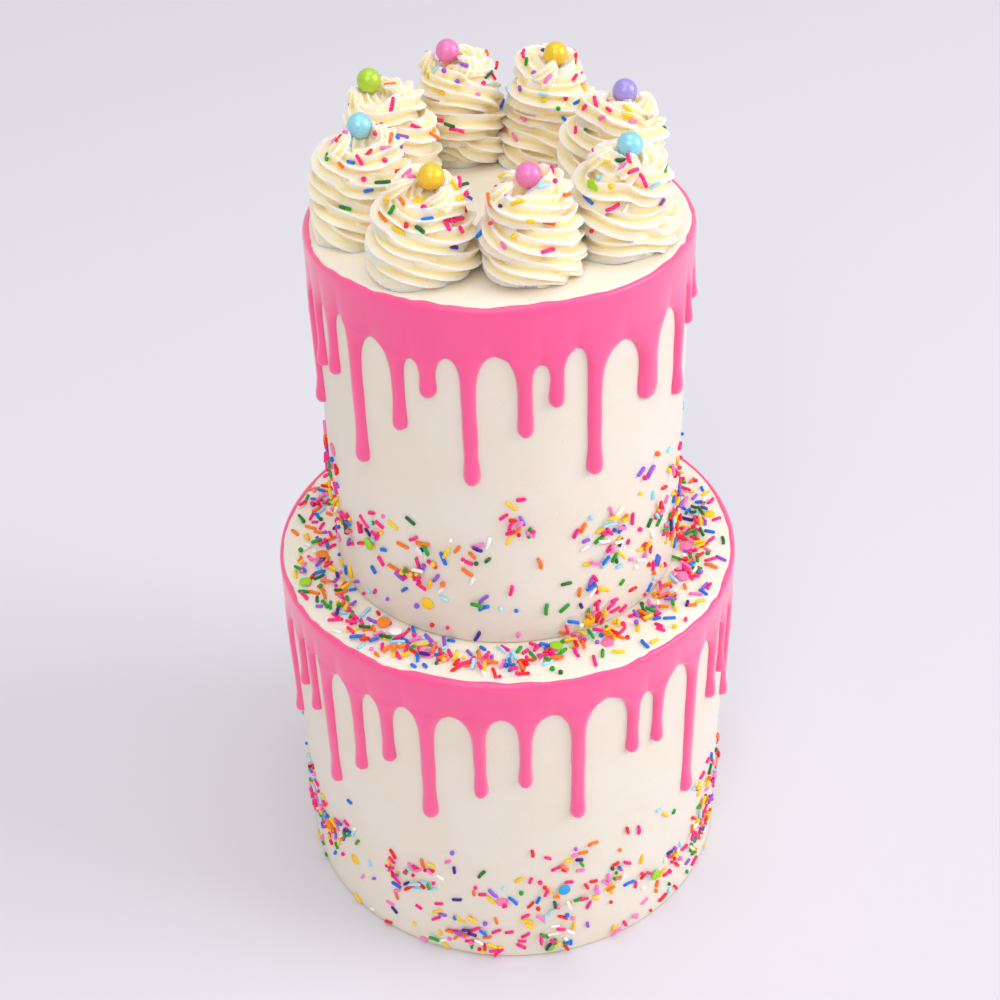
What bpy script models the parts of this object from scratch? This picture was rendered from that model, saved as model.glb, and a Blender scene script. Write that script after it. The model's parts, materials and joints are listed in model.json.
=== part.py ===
"""Two-tier drip cake: two buttercream tiers, a pink glaze run over each rim, and a crown of piped
swirls, each with a candy pearl on top. Sprinkles are fused to what they lie on.

The origin is the centre of the lower tier's flat base. +Z is up, and -Y is the front of the cake.
"""

import math
import random

import bmesh
import bpy
from mathutils import Matrix, Vector
from mathutils.bvhtree import BVHTree

MM = 0.001
CLEARANCE = 0.3 * MM
SHARP_ANGLE = 40.0

# Tiers
LOWER_RADIUS = 104.0 * MM
LOWER_HEIGHT = 176.5 * MM
UPPER_RADIUS = 78.0 * MM
UPPER_HEIGHT = 162.0 * MM
UPPER_BASE = LOWER_HEIGHT + CLEARANCE
CAKE_TOP = UPPER_BASE + UPPER_HEIGHT
RIM_ROUND = 2.0 * MM
TIER_SEGMENTS = 60

# Glaze: how far it laps onto the top, how thick it stands off the tier, and its arches and drops
GLAZE_GAP = 0.5 * MM
GLAZE_LAP = 2.2 * MM
GLAZE_EDGE = 1.0 * MM
GLAZE_BAND = 2.0 * MM
GLAZE_TOP_EDGE = 0.7 * MM
GLAZE_TOP = 1.5 * MM
GLAZE_SHOULDER_IN = 0.8 * MM
GLAZE_SHOULDER_DOWN = 1.8 * MM
GLAZE_BACK_CHAMFER = 1.0 * MM
NECK_WIDTH = 5.6 * MM
NECK_THICK = 2.6 * MM
BULB_WIDTH = 6.6 * MM
BULB_THICK = 3.8 * MM
BULB_EDGE = 1.5 * MM
TIP_THICK = 2.0 * MM
TIP_SHARE = 0.4
SHORTEST_NECK = 1.15
ARCH_DEPTH = 19.5 * MM
ARCH_DEPTH_SPREAD = 2.5 * MM
ARCH_HEIGHT = 16.0 * MM
ARCH_SHOULDER = 0.22

# Runs of glaze that the front shows: angle in degrees, length below the rim in millimetres, breadth,
# and how deep the arch after it is in millimetres
UPPER_FRONT_RUNS = (
    (-166, 74.5, 1.0, 19.0), (-157.5, 50, 0.9, 19.5), (-148, 47.5, 1.0, 17.8),
    (-137, 82, 1.1, 20.4), (-121, 57.7, 1.0, 24.9), (-111.5, 39.6, 1.1, 22.1),
    (-99.9, 78.3, 1.05, 20.1), (-84, 55.6, 1.0, 25.5), (-74.8, 43.4, 0.95, 20.2),
    (-63.3, 79.4, 1.1, 23.1), (-43.5, 54.6, 1.65, 20.6), (-25.7, 65.8, 1.15, 19.0),
    (-18, 38, 0.9, 18.0), (-8, 34, 0.9, 19.0),
)
LOWER_FRONT_RUNS = (
    (-165, 83, 1.0, 19.0), (-153.5, 48.5, 0.9, 18.0), (-147.8, 55.5, 0.9, 19.0),
    (-141.5, 92.5, 1.1, 20.6), (-130.3, 70.2, 1.05, 21.6), (-121.3, 55.4, 1.05, 20.4),
    (-110.7, 83, 1.15, 19.7), (-97.9, 65, 0.95, 19.6), (-86.9, 58.4, 0.95, 18.5),
    (-74.2, 82.3, 1.1, 15.5), (-59.8, 52.3, 1.0, 22.1), (-52.3, 53.6, 0.95, 17.2),
    (-39.7, 103.5, 1.1, 18.5), (-29.4, 58.4, 1.05, 19.5), (-22.5, 52.5, 0.9, 19.0),
    (-15, 80, 1.0, 19.0),
)
UPPER_BACK_RUNS = 12
LOWER_BACK_RUNS = 16
BACK_RUN_LENGTHS = (58, 42, 73, 50, 66, 40, 72, 54)
BACK_LENGTH_SPREAD = 4.0
BACK_BEAT_SPREAD = 0.16
BACK_BREADTHS = (0.9, 1.15)

# Crown of swirls, in millimetres: each one's place on the cake (across, along), its radius, how high
# its pearl's centre is above the cake, and how far the pearl sits off the swirl's middle
SWIRLS = (
    (-28.9, -46.1, 20.6, 37.5, 4.5, 0.0), (11.2, -48.9, 20.2, 38.0, 0.0, 0.6),
    (46.9, -29.5, 21.0, 40.0, 2.7, 0.8), (47.6, 14.5, 21.4, 44.0, 3.2, -1.1),
    (20.5, 54.5, 19.4, 45.0, 4.7, -1.3), (-15.5, 56.5, 18.9, 46.0, -4.1, 0.7),
    (-43.0, 28.5, 20.6, 44.0, -8.0, 3.3), (-53.0, -9.5, 21.0, 41.5, 0.4, 2.0),
)
SWIRL_TURNS = 3.1
SWIRL_TWIST = 2.6
SWIRL_ROWS = 13
SWIRL_CROWDING = 0.5
SWIRL_FULLNESS = 5.0
SWIRL_LEAN = 2.6
SWIRL_SHOULDER = 0.55
FLUTES = 8
FLUTE_DEPTH = 0.075
PEAK_FLUTE_DEPTH = 0.026
PEAK_FADE = 0.135
COIL_BULGE = 1.3 * MM
COIL_SHIFT = 2.4
COIL_FADE = 3.2
PEARL_RADIUS = 5.0 * MM
CUP_RADIUS = 4.9 * MM
CUP_DROP = 3.1 * MM
CUP_FLOOR = 6.7 * MM

# Sprinkles
ROD_RADIUS = 0.85 * MM
ROD_LENGTHS = (5.0 * MM, 7.0 * MM)
ROD_LIFT = 0.25 * MM
ROD_SIDES = 5
DISC_RADIUS = 3.0 * MM
DISC_THICK = 1.5 * MM
DISC_LIFT = 0.3 * MM
DISC_TAPER = 0.9
DISC_SIDES = 9
DISC_SHARE = 0.09
SPRINKLE_SPACING = 8.0 * MM
SPRINKLE_REACH = 4.3 * MM
SIDE_THINNING = 1.6
LEDGE_THINNING = 1.3
SIDE_BAND_FRONT = 38.0 * MM
LOWER_BAND_FLANK = 62.0 * MM
UPPER_BAND_FLANK = 74.0 * MM
LOWER_SIDE_SPRINKLES = 46
UPPER_SIDE_SPRINKLES = 36
LEDGE_SPRINKLES = 38
SWIRL_SPRINKLES = 4
SWIRL_SEAT_REACH = 38.0
SWIRL_SEAT_HEIGHTS = (0.22, 0.78)
SEAT_SIGHT = 40.0 * MM

# Colours
CREAM = (0.86, 0.80, 0.68)
PIPED_CREAM = (0.90, 0.82, 0.62)
PINK = (0.90, 0.14, 0.36)
PEARL_COLOURS = (
    (0.90, 0.62, 0.05), (0.86, 0.25, 0.52), (0.30, 0.62, 0.80), (0.38, 0.30, 0.72),
    (0.88, 0.64, 0.06), (0.80, 0.14, 0.45), (0.42, 0.62, 0.08), (0.24, 0.58, 0.76),
)


def clear_scene():
    for item in list(bpy.data.objects):
        bpy.data.objects.remove(item, do_unlink=True)


def make_material(name, colour, roughness):
    material = bpy.data.materials.new(name)
    material.use_nodes = True
    shader = material.node_tree.nodes["Principled BSDF"]
    shader.inputs["Base Color"].default_value = (*colour, 1.0)
    shader.inputs["Roughness"].default_value = roughness
    shader.inputs["Metallic"].default_value = 0.0
    return material


def make_object(name, shape, material):
    """A scene object from a bmesh, its faces turned outwards."""
    mesh = bpy.data.meshes.new(name)
    bmesh.ops.recalc_face_normals(shape, faces=shape.faces)
    shape.to_mesh(mesh)
    shape.free()
    mesh.materials.append(material)
    item = bpy.data.objects.new(name, mesh)
    bpy.context.scene.collection.objects.link(item)
    return item


def shade(item):
    """Smooth shading up to the item's sharp edges."""
    item.data.shade_smooth()
    item.data.set_sharp_from_angle(angle=math.radians(SHARP_ANGLE))


def polar(radius, degrees, height):
    angle = math.radians(degrees)
    return Vector((radius * math.cos(angle), radius * math.sin(angle), height))


def mix(start, end, share):
    return start + (end - start) * share


# Tiers

def tier(name, radius, base, height, material):
    """A straight-sided round of cake with a softly rounded top rim."""
    shape = bmesh.new()
    bmesh.ops.create_cone(
        shape, cap_ends=True, segments=TIER_SEGMENTS, radius1=radius, radius2=radius, depth=height,
        matrix=Matrix.Translation((0, 0, base + height / 2)),
    )
    middle = base + height / 2
    rim = [edge for edge in shape.edges if all(end.co.z > middle for end in edge.verts)]
    bmesh.ops.bevel(shape, geom=rim, offset=RIM_ROUND, segments=2, profile=0.5, affect="EDGES")
    return make_object(name, shape, material)


# Glaze

def all_runs(front_runs, back_count, dice):
    """The front's runs and, round the back, more of them at an uneven beat."""
    runs = [
        (angle, length * MM, breadth, arch * MM) for angle, length, breadth, arch in front_runs
    ]
    first = front_runs[-1][0]
    step = (front_runs[0][0] + 360 - first) / (back_count + 1)
    for index in range(back_count):
        angle = first + step * (index + 1 + dice.uniform(-BACK_BEAT_SPREAD, BACK_BEAT_SPREAD))
        length = BACK_RUN_LENGTHS[index % len(BACK_RUN_LENGTHS)]
        length += dice.uniform(-BACK_LENGTH_SPREAD, BACK_LENGTH_SPREAD)
        arch = ARCH_DEPTH + dice.uniform(-ARCH_DEPTH_SPREAD, ARCH_DEPTH_SPREAD)
        runs.append((angle, length * MM, dice.uniform(*BACK_BREADTHS), arch))
    return runs


class Arch:
    """The arch between one run and the next: its middle angle, its depth and half its width."""

    def __init__(self, runs, index, radius):
        here = runs[index][0]
        after = runs[(index + 1) % len(runs)][0]
        gap = (after - here) % 360
        self.degrees = here + gap / 2
        self.depth = runs[index][3]
        self.half_gap = max(math.radians(gap) * radius - NECK_WIDTH, MM) / 2
        self.height = min(ARCH_HEIGHT, 2 * self.half_gap)


class GlazeSkin:
    """A closed skin of glaze whose back stands just off the tier and whose front swells at each run."""

    def __init__(self, radius, top):
        self.shape = bmesh.new()
        self.radius = radius
        self.top = top

    def point(self, degrees, depth, thick, lap=0.0):
        return self.shape.verts.new(polar(self.radius - lap + thick, degrees, self.top - depth))

    def column(self, degrees, depth, thick):
        """Front and back points from the glaze's edge on the cake's top down to its arches."""
        front = (
            self.point(degrees, -GLAZE_GAP - GLAZE_TOP_EDGE, 0, GLAZE_LAP),
            self.point(degrees, -GLAZE_GAP - GLAZE_TOP, 0, GLAZE_SHOULDER_IN),
            self.point(degrees, GLAZE_SHOULDER_DOWN, GLAZE_BAND),
            self.point(degrees, depth, thick),
        )
        back = (
            self.point(degrees, -GLAZE_GAP, 0, GLAZE_LAP),
            self.point(degrees, -GLAZE_GAP, 0, GLAZE_BACK_CHAMFER),
            self.point(degrees, GLAZE_BACK_CHAMFER, GLAZE_GAP),
            self.point(degrees, depth, GLAZE_GAP),
        )
        return front, back

    def strip(self, left, right):
        """Faces between two columns of as many points."""
        for row in range(len(left) - 1):
            self.shape.faces.new((left[row], left[row + 1], right[row + 1], right[row]))

    def band(self, left, right):
        """The glaze between two columns, closed at its edge on the cake's top."""
        self.strip(left[0], right[0])
        self.strip(right[1], left[1])
        self.shape.faces.new((left[0][0], right[0][0], right[1][0], left[1][0]))

    def row(self, degrees, depths, halves, crest, edge):
        """Three front points and two back points across a run, left to right."""
        left = degrees - math.degrees(halves[0] / self.radius)
        right = degrees + math.degrees(halves[1] / self.radius)
        return (
            self.point(left, depths[0], edge),
            self.point(degrees, sum(depths) / 2, crest),
            self.point(right, depths[1], edge),
            self.point(left, depths[0], GLAZE_GAP),
            self.point(right, depths[1], GLAZE_GAP),
        )

    def arch_row(self, run, share, arches):
        """A level of the two elliptic arches that flank the run's root."""
        degrees, length, breadth, _ = run
        spread = 1 - math.sqrt(1 - (1 - share) ** 2)
        halves = [breadth * NECK_WIDTH / 2 + arch.half_gap * spread for arch in arches]
        lowest = length - breadth * BULB_WIDTH * SHORTEST_NECK
        depths = [
            arch.depth + min(arch.height, lowest - arch.depth) * share for arch in arches
        ]
        return self.row(degrees, depths, halves, NECK_THICK, GLAZE_EDGE)

    def run(self, run, left_seam, right_seam, arches):
        """One run of glaze: it narrows from its arches to a neck and ends in a round drop."""
        degrees, length, breadth, _ = run
        middle = self.column(degrees, (arches[0].depth + arches[1].depth) / 2, NECK_THICK)
        self.band(left_seam, middle)
        self.band(middle, right_seam)
        (left, left_back), (right, right_back) = left_seam, right_seam
        rows = [(left[-1], middle[0][-1], right[-1], left_back[-1], right_back[-1])]
        rows += [self.arch_row(run, share, arches) for share in (ARCH_SHOULDER, 1.0)]
        half_neck = breadth * NECK_WIDTH / 2
        half_bulb = breadth * BULB_WIDTH / 2
        half_tip = half_bulb * TIP_SHARE
        neck_end = length - 2 * half_bulb
        bulb = length - half_bulb
        rows.append(self.row(degrees, (neck_end,) * 2, (half_neck,) * 2, NECK_THICK, GLAZE_EDGE))
        rows.append(self.row(degrees, (bulb,) * 2, (half_bulb,) * 2, BULB_THICK, BULB_EDGE))
        rows.append(self.row(degrees, (length,) * 2, (half_tip,) * 2, TIP_THICK, GLAZE_EDGE))
        self.close_run(rows, middle[1][-1])

    def close_run(self, rows, root):
        """Front, sides and back of a run through its rows, where root is its back's highest point."""
        faces = self.shape.faces
        for above, below in zip(rows, rows[1:]):
            faces.new((above[0], below[0], below[1], above[1]))
            faces.new((above[1], below[1], below[2], above[2]))
            faces.new((above[3], below[3], below[0], above[0]))
            faces.new((above[2], below[2], below[4], above[4]))
        first, second = rows[:2]
        faces.new((first[3], root, second[3]))
        faces.new((root, second[4], second[3]))
        faces.new((root, first[4], second[4]))
        for above, below in zip(rows[1:], rows[2:]):
            faces.new((above[3], above[4], below[4], below[3]))
        tip = rows[-1]
        faces.new((tip[0], tip[3], tip[4], tip[2], tip[1]))


def glaze(name, radius, top, front_runs, back_count, material, seed):
    """Glaze round one tier, with a run at each stated angle and a seam between each two."""
    dice = random.Random(seed)
    runs = all_runs(front_runs, back_count, dice)
    arches = [Arch(runs, index, radius) for index in range(len(runs))]
    skin = GlazeSkin(radius, top)
    seams = [skin.column(arch.degrees, arch.depth, GLAZE_EDGE) for arch in arches]
    for index, run in enumerate(runs):
        skin.run(run, seams[index - 1], seams[index], (arches[index - 1], arches[index]))
    item = make_object(name, skin.shape, material)
    shade(item)
    return item


# Swirls and pearls

def swirl_radius(widest, angle, share, turn):
    """Radius of a swirl at an angle and a share of its height: coil turns under twisted flutes."""
    taper = (1 - share ** SWIRL_FULLNESS) ** SWIRL_SHOULDER
    envelope = mix(CUP_RADIUS, widest, taper)
    depth = min(FLUTE_DEPTH, PEAK_FLUTE_DEPTH + PEAK_FADE * (1 - share))
    flute = depth * math.cos(FLUTES * (angle - SWIRL_TWIST * share))
    bulge = COIL_BULGE * min(1.0, COIL_FADE * (1 - share))
    bulge *= math.cos(angle + turn - 2 * math.pi * SWIRL_TURNS * share)
    return envelope * (1 + flute) + bulge


def neighbour_flats(index):
    """The two upright planes that bound a swirl, each as its outward normal and its offset."""
    here = Vector((*SWIRLS[index][:2], 0)) * MM
    flats = []
    for step in (-1, 1):
        neighbour = SWIRLS[(index + step) % len(SWIRLS)]
        there = Vector((*neighbour[:2], 0)) * MM
        normal = (there - here).normalized()
        share = SWIRLS[index][2] / (SWIRLS[index][2] + neighbour[2])
        flats.append((normal, here.lerp(there, share).dot(normal) - CLEARANCE))
    return flats


def pressed(point, flats):
    """A point of a swirl kept inside the glaze and on its own side of its neighbours' flats."""
    for normal, offset in flats:
        point = point - normal * max(0.0, point.dot(normal) - offset)
    beyond = max(0.0, point.xy.length - (UPPER_RADIUS - GLAZE_LAP - CLEARANCE))
    return point - Vector((*point.xy, 0)).normalized() * beyond


def swirl_place(index):
    """The middle of a swirl's foot, the way its peak leans to the pearl, and the pearl's centre."""
    across, along, _, pearl_height, lean_across, lean_along = SWIRLS[index]
    foot = Vector((across * MM, along * MM, CAKE_TOP + CLEARANCE))
    lean = Vector((lean_across, lean_along, 0)) * MM
    return foot, lean, foot + lean + Vector((0, 0, pearl_height * MM))


def swirl_shape(index):
    """A piped swirl on the cake's top, cupped where its pearl sits."""
    centre, lean, pearl_centre = swirl_place(index)
    widest = SWIRLS[index][2] * MM
    body_height = pearl_centre.z - centre.z - CUP_DROP
    flats = neighbour_flats(index)
    shape = bmesh.new()
    columns = 2 * FLUTES
    rings = []
    for row in range(SWIRL_ROWS):
        step = row / (SWIRL_ROWS - 1)
        share = mix(step, math.sin(step * math.pi / 2), SWIRL_CROWDING)
        ring = []
        for column in range(columns):
            angle = 2 * math.pi * column / columns + SWIRL_TWIST * share
            radius = swirl_radius(widest, angle, share, index * COIL_SHIFT)
            offset = polar(radius, math.degrees(angle), body_height * share)
            offset += lean * share ** SWIRL_LEAN
            ring.append(shape.verts.new(pressed(centre + offset, flats)))
        rings.append(ring)
    for lower, upper in zip(rings, rings[1:]):
        for column in range(columns):
            beside = (column + 1) % columns
            shape.faces.new((lower[column], lower[beside], upper[beside], upper[column]))
    shape.faces.new(reversed(rings[0]))
    floor = shape.verts.new(pearl_centre - Vector((0, 0, CUP_FLOOR)))
    for column in range(columns):
        shape.faces.new((rings[-1][column], rings[-1][(column + 1) % columns], floor))
    return shape, centre, body_height


def swirl(index, material, dice):
    shape, centre, body_height = swirl_shape(index)
    seats = swirl_seats(shape, centre, body_height, dice)
    item = make_object(f"swirl_{index + 1}", shape, material)
    fuse_sprinkles(item, seats, dice, solver="MANIFOLD")
    shade(item)


def pearl(index, material):
    shape = bmesh.new()
    centre = swirl_place(index)[2]
    bmesh.ops.create_icosphere(
        shape, subdivisions=2, radius=PEARL_RADIUS, matrix=Matrix.Translation(centre)
    )
    shade(make_object(f"pearl_{index + 1}", shape, material))


# Sprinkles

def seat(point, normal, heading):
    """A frame with X along the sprinkle and Z out of the surface."""
    out = normal.normalized()
    along = (heading - out * heading.dot(out)).normalized()
    frame = Matrix((along, out.cross(along), out)).transposed().to_4x4()
    frame.translation = point
    return frame


def rod(frame, length):
    """A five-sided rod with blunt points, lying along the frame's X axis."""
    shape = bmesh.new()
    lie_down = Matrix.Rotation(math.radians(90), 4, "Y")
    bmesh.ops.create_cone(
        shape, cap_ends=True, segments=ROD_SIDES, radius1=ROD_RADIUS, radius2=ROD_RADIUS,
        depth=length - ROD_RADIUS, matrix=frame @ Matrix.Translation((0, 0, ROD_LIFT)) @ lie_down,
    )
    caps = [face for face in shape.faces if len(face.verts) == ROD_SIDES]
    bmesh.ops.poke(shape, faces=caps, offset=ROD_RADIUS / 2)
    return shape


def disc(frame):
    """A flat round sprinkle, pressed a little into the surface."""
    shape = bmesh.new()
    bmesh.ops.create_cone(
        shape, cap_ends=True, segments=DISC_SIDES, depth=DISC_THICK,
        radius1=DISC_RADIUS, radius2=DISC_RADIUS * DISC_TAPER,
        matrix=frame @ Matrix.Translation((0, 0, DISC_LIFT)),
    )
    return shape


def far_enough(point, taken):
    return all((point - other).length > SPRINKLE_SPACING for other in taken)


def side_seats(count, radius, base, flank_band, dice):
    """Seats on a tier's side: thick at its foot, and higher up the flanks than at the front."""
    seats = []
    taken = []
    while len(seats) < count:
        degrees = dice.uniform(-180, 180)
        band = mix(SIDE_BAND_FRONT, flank_band, math.cos(math.radians(degrees)) ** 4)
        point = polar(radius, degrees, base + SPRINKLE_REACH + band * dice.random() ** SIDE_THINNING)
        if not far_enough(point, taken):
            continue
        taken.append(point)
        slant = dice.uniform(0, math.pi)
        heading = polar(math.cos(slant), degrees + 90, math.sin(slant))
        seats.append(seat(point, polar(1.0, degrees, 0), heading))
    return seats


def ledge_seats(dice):
    """Seats on the ledge between the two tiers, more of them near the upper tier's foot."""
    inner = UPPER_RADIUS + SPRINKLE_REACH
    outer = LOWER_RADIUS - GLAZE_LAP - SPRINKLE_REACH
    seats = []
    taken = []
    while len(seats) < LEDGE_SPRINKLES:
        distance = mix(inner, outer, dice.random() ** LEDGE_THINNING)
        point = polar(distance, dice.uniform(-180, 180), LOWER_HEIGHT)
        if not far_enough(point, taken):
            continue
        taken.append(point)
        seats.append(seat(point, Vector((0, 0, 1)), polar(1.0, dice.uniform(0, 360), 0)))
    return seats


def swirl_seats(shape, centre, body_height, dice):
    """Seats on a swirl's two open faces, found by looking in at it from outside."""
    tree = BVHTree.FromBMesh(shape)
    outward = math.degrees(math.atan2(centre.y, centre.x))
    seats = []
    taken = []
    while len(seats) < SWIRL_SPRINKLES:
        degrees = outward + dice.choice((0, 0, 180))
        degrees += dice.uniform(-SWIRL_SEAT_REACH, SWIRL_SEAT_REACH)
        height = centre.z + body_height * dice.uniform(*SWIRL_SEAT_HEIGHTS)
        start = Vector((centre.x, centre.y, height)) + polar(SEAT_SIGHT, degrees, 0)
        point, normal, _, _ = tree.ray_cast(start, polar(-1.0, degrees, 0))
        if point is None or not far_enough(point, taken):
            continue
        taken.append(point)
        if normal.dot(start - point) < 0:
            normal = -normal
        heading = Vector([dice.uniform(-1, 1) for _ in range(3)])
        seats.append(seat(point, normal, heading))
    return seats


def sprinkle_mesh(frame, dice):
    if dice.random() < DISC_SHARE:
        shape = disc(frame)
    else:
        shape = rod(frame, dice.uniform(*ROD_LENGTHS))
    bmesh.ops.recalc_face_normals(shape, faces=shape.faces)
    mesh = bpy.data.meshes.new("sprinkle")
    shape.to_mesh(mesh)
    shape.free()
    return mesh


def fuse_sprinkles(item, seats, dice, solver="EXACT"):
    """Joins one sprinkle on each seat to the item with a single Boolean union."""
    toppings = bpy.data.collections.new(f"{item.name}_toppings")
    bpy.context.scene.collection.children.link(toppings)
    for frame in seats:
        toppings.objects.link(bpy.data.objects.new("sprinkle", sprinkle_mesh(frame, dice)))
    union = item.modifiers.new("Sprinkles", "BOOLEAN")
    union.operation = "UNION"
    union.operand_type = "COLLECTION"
    union.collection = toppings
    union.solver = solver
    with bpy.context.temp_override(object=item, active_object=item):
        bpy.ops.object.modifier_apply(modifier=union.name)
    for piece in list(toppings.objects):
        bpy.data.objects.remove(piece, do_unlink=True)
    bpy.data.collections.remove(toppings)


def main():
    clear_scene()
    cream = make_material("buttercream", CREAM, 0.45)
    piped = make_material("piped_cream", PIPED_CREAM, 0.4)
    pink = make_material("pink_glaze", PINK, 0.3)
    dice = random.Random(7)

    lower = tier("lower_tier", LOWER_RADIUS, 0.0, LOWER_HEIGHT, cream)
    seats = side_seats(LOWER_SIDE_SPRINKLES, LOWER_RADIUS, 0.0, LOWER_BAND_FLANK, dice)
    fuse_sprinkles(lower, seats + ledge_seats(dice), dice)
    shade(lower)

    upper = tier("upper_tier", UPPER_RADIUS, UPPER_BASE, UPPER_HEIGHT, cream)
    seats = side_seats(UPPER_SIDE_SPRINKLES, UPPER_RADIUS, UPPER_BASE, UPPER_BAND_FLANK, dice)
    fuse_sprinkles(upper, seats, dice)
    shade(upper)

    glaze("lower_glaze", LOWER_RADIUS, LOWER_HEIGHT, LOWER_FRONT_RUNS, LOWER_BACK_RUNS, pink, 11)
    glaze("upper_glaze", UPPER_RADIUS, CAKE_TOP, UPPER_FRONT_RUNS, UPPER_BACK_RUNS, pink, 12)

    for index, colour in enumerate(PEARL_COLOURS):
        swirl(index, piped, dice)
        pearl(index, make_material(f"pearl_candy_{index + 1}", colour, 0.2))


main()
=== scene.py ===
"""Looks of a two-tier drip cake: buttercream tiers, pink glaze, piped swirls, candy pearls, sprinkles."""

import json
import math
import random

import bmesh
import bpy
import numpy as np
from bpy.props import FloatProperty, FloatVectorProperty, IntProperty, PointerProperty
from mathutils import Matrix, Vector, noise
from mathutils.bvhtree import BVHTree

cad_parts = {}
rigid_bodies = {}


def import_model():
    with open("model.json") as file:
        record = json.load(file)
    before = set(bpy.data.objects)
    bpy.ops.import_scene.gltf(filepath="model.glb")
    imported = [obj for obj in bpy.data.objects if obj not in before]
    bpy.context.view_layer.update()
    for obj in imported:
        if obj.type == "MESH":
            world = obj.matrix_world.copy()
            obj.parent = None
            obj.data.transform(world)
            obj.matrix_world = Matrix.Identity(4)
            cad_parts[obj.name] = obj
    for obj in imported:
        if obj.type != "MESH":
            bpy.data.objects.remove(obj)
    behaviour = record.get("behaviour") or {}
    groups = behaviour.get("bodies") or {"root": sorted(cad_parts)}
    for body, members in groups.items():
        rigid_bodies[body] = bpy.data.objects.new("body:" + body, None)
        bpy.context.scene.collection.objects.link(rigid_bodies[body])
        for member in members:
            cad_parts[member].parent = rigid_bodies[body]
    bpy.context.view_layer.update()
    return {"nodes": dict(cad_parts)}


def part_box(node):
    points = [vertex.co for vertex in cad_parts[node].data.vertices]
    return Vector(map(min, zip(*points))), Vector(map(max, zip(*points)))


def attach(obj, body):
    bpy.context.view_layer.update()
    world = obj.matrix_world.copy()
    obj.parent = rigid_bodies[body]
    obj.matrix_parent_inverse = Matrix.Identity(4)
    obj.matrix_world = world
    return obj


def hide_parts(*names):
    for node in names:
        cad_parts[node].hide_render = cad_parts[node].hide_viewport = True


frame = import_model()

bl_info = {
    "name": "Drip Cake",
    "version": (1, 0, 0),
    "blender": (4, 5, 0),
    "location": "View3D > Sidebar > Cake",
    "description": "Builds a two-tier drip cake with piped swirls, candy pearls and sprinkles",
    "category": "Add Mesh",
}

MM = 0.001
BODY = "root"
NODE_GAP = 0.3 * MM


def foot_radius(node):
    """Radius of a tier, read from its bottom face."""
    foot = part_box(node)[0].z + 0.1 * MM
    return max(point.co.xy.length for point in frame["nodes"][node].data.vertices if point.co.z < foot)


# Sizes that the frame gives
LOWER_RADIUS = foot_radius("lower_tier")
UPPER_RADIUS = foot_radius("upper_tier")
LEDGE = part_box("upper_tier")[0].z - NODE_GAP
CAKE_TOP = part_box("swirl_1")[0].z - NODE_GAP
RIM = 2.2 * MM

# Middle of each swirl's foot on the cake (across, along) and its radius, in millimetres
SWIRLS = (
    (-28.9, -46.1, 20.6), (11.2, -48.9, 20.2), (46.9, -29.5, 21.0), (47.6, 14.5, 21.4),
    (20.5, 54.5, 19.4), (-15.5, 56.5, 18.9), (-43.0, 28.5, 20.6), (-53.0, -9.5, 21.0),
)

# Runs of glaze at the front: angle in degrees, length below the rim in millimetres, breadth,
# and how deep the arch after it is in millimetres
UPPER_FRONT_RUNS = (
    (-166, 74.5, 1.0, 19.0), (-157.5, 50, 0.9, 19.5), (-148, 47.5, 1.0, 17.8),
    (-137, 82, 1.1, 20.4), (-121, 57.7, 1.0, 24.9), (-111.5, 39.6, 1.1, 22.1),
    (-99.9, 78.3, 1.05, 20.1), (-84, 55.6, 1.0, 25.5), (-74.8, 43.4, 0.95, 20.2),
    (-63.3, 79.4, 1.1, 23.1), (-43.5, 54.6, 1.65, 20.6), (-25.7, 65.8, 1.15, 19.0),
    (-18, 38, 0.9, 18.0), (-8, 34, 0.9, 19.0),
)
LOWER_FRONT_RUNS = (
    (-165, 83, 1.0, 19.0), (-153.5, 48.5, 0.9, 18.0), (-147.8, 55.5, 0.9, 19.0),
    (-141.5, 92.5, 1.1, 20.6), (-130.3, 70.2, 1.05, 21.6), (-121.3, 55.4, 1.05, 20.4),
    (-110.7, 83, 1.15, 19.7), (-97.9, 65, 0.95, 19.6), (-86.9, 58.4, 0.95, 18.5),
    (-74.2, 82.3, 1.1, 15.5), (-59.8, 52.3, 1.0, 22.1), (-52.3, 53.6, 0.95, 17.2),
    (-39.7, 103.5, 1.1, 18.5), (-29.4, 58.4, 1.05, 19.5), (-22.5, 52.5, 0.9, 19.0),
    (-15, 80, 1.0, 19.0),
)
UPPER_BACK_RUNS = 12
LOWER_BACK_RUNS = 16
BACK_RUN_LENGTHS = (58, 42, 73, 50, 66, 40, 72, 54)
BACK_LENGTH_SPREAD = 4.0
BACK_BEAT_SPREAD = 0.16
BACK_BREADTHS = (0.9, 1.15)
LOWER_GLAZE_SEED = 11
UPPER_GLAZE_SEED = 12

# Arches between the runs
ARCH_DEPTH = 19.5 * MM
ARCH_DEPTH_SPREAD = 2.5 * MM
ARCH_HEIGHT = 16.0 * MM
SHORTEST_NECK = 1.15

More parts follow.
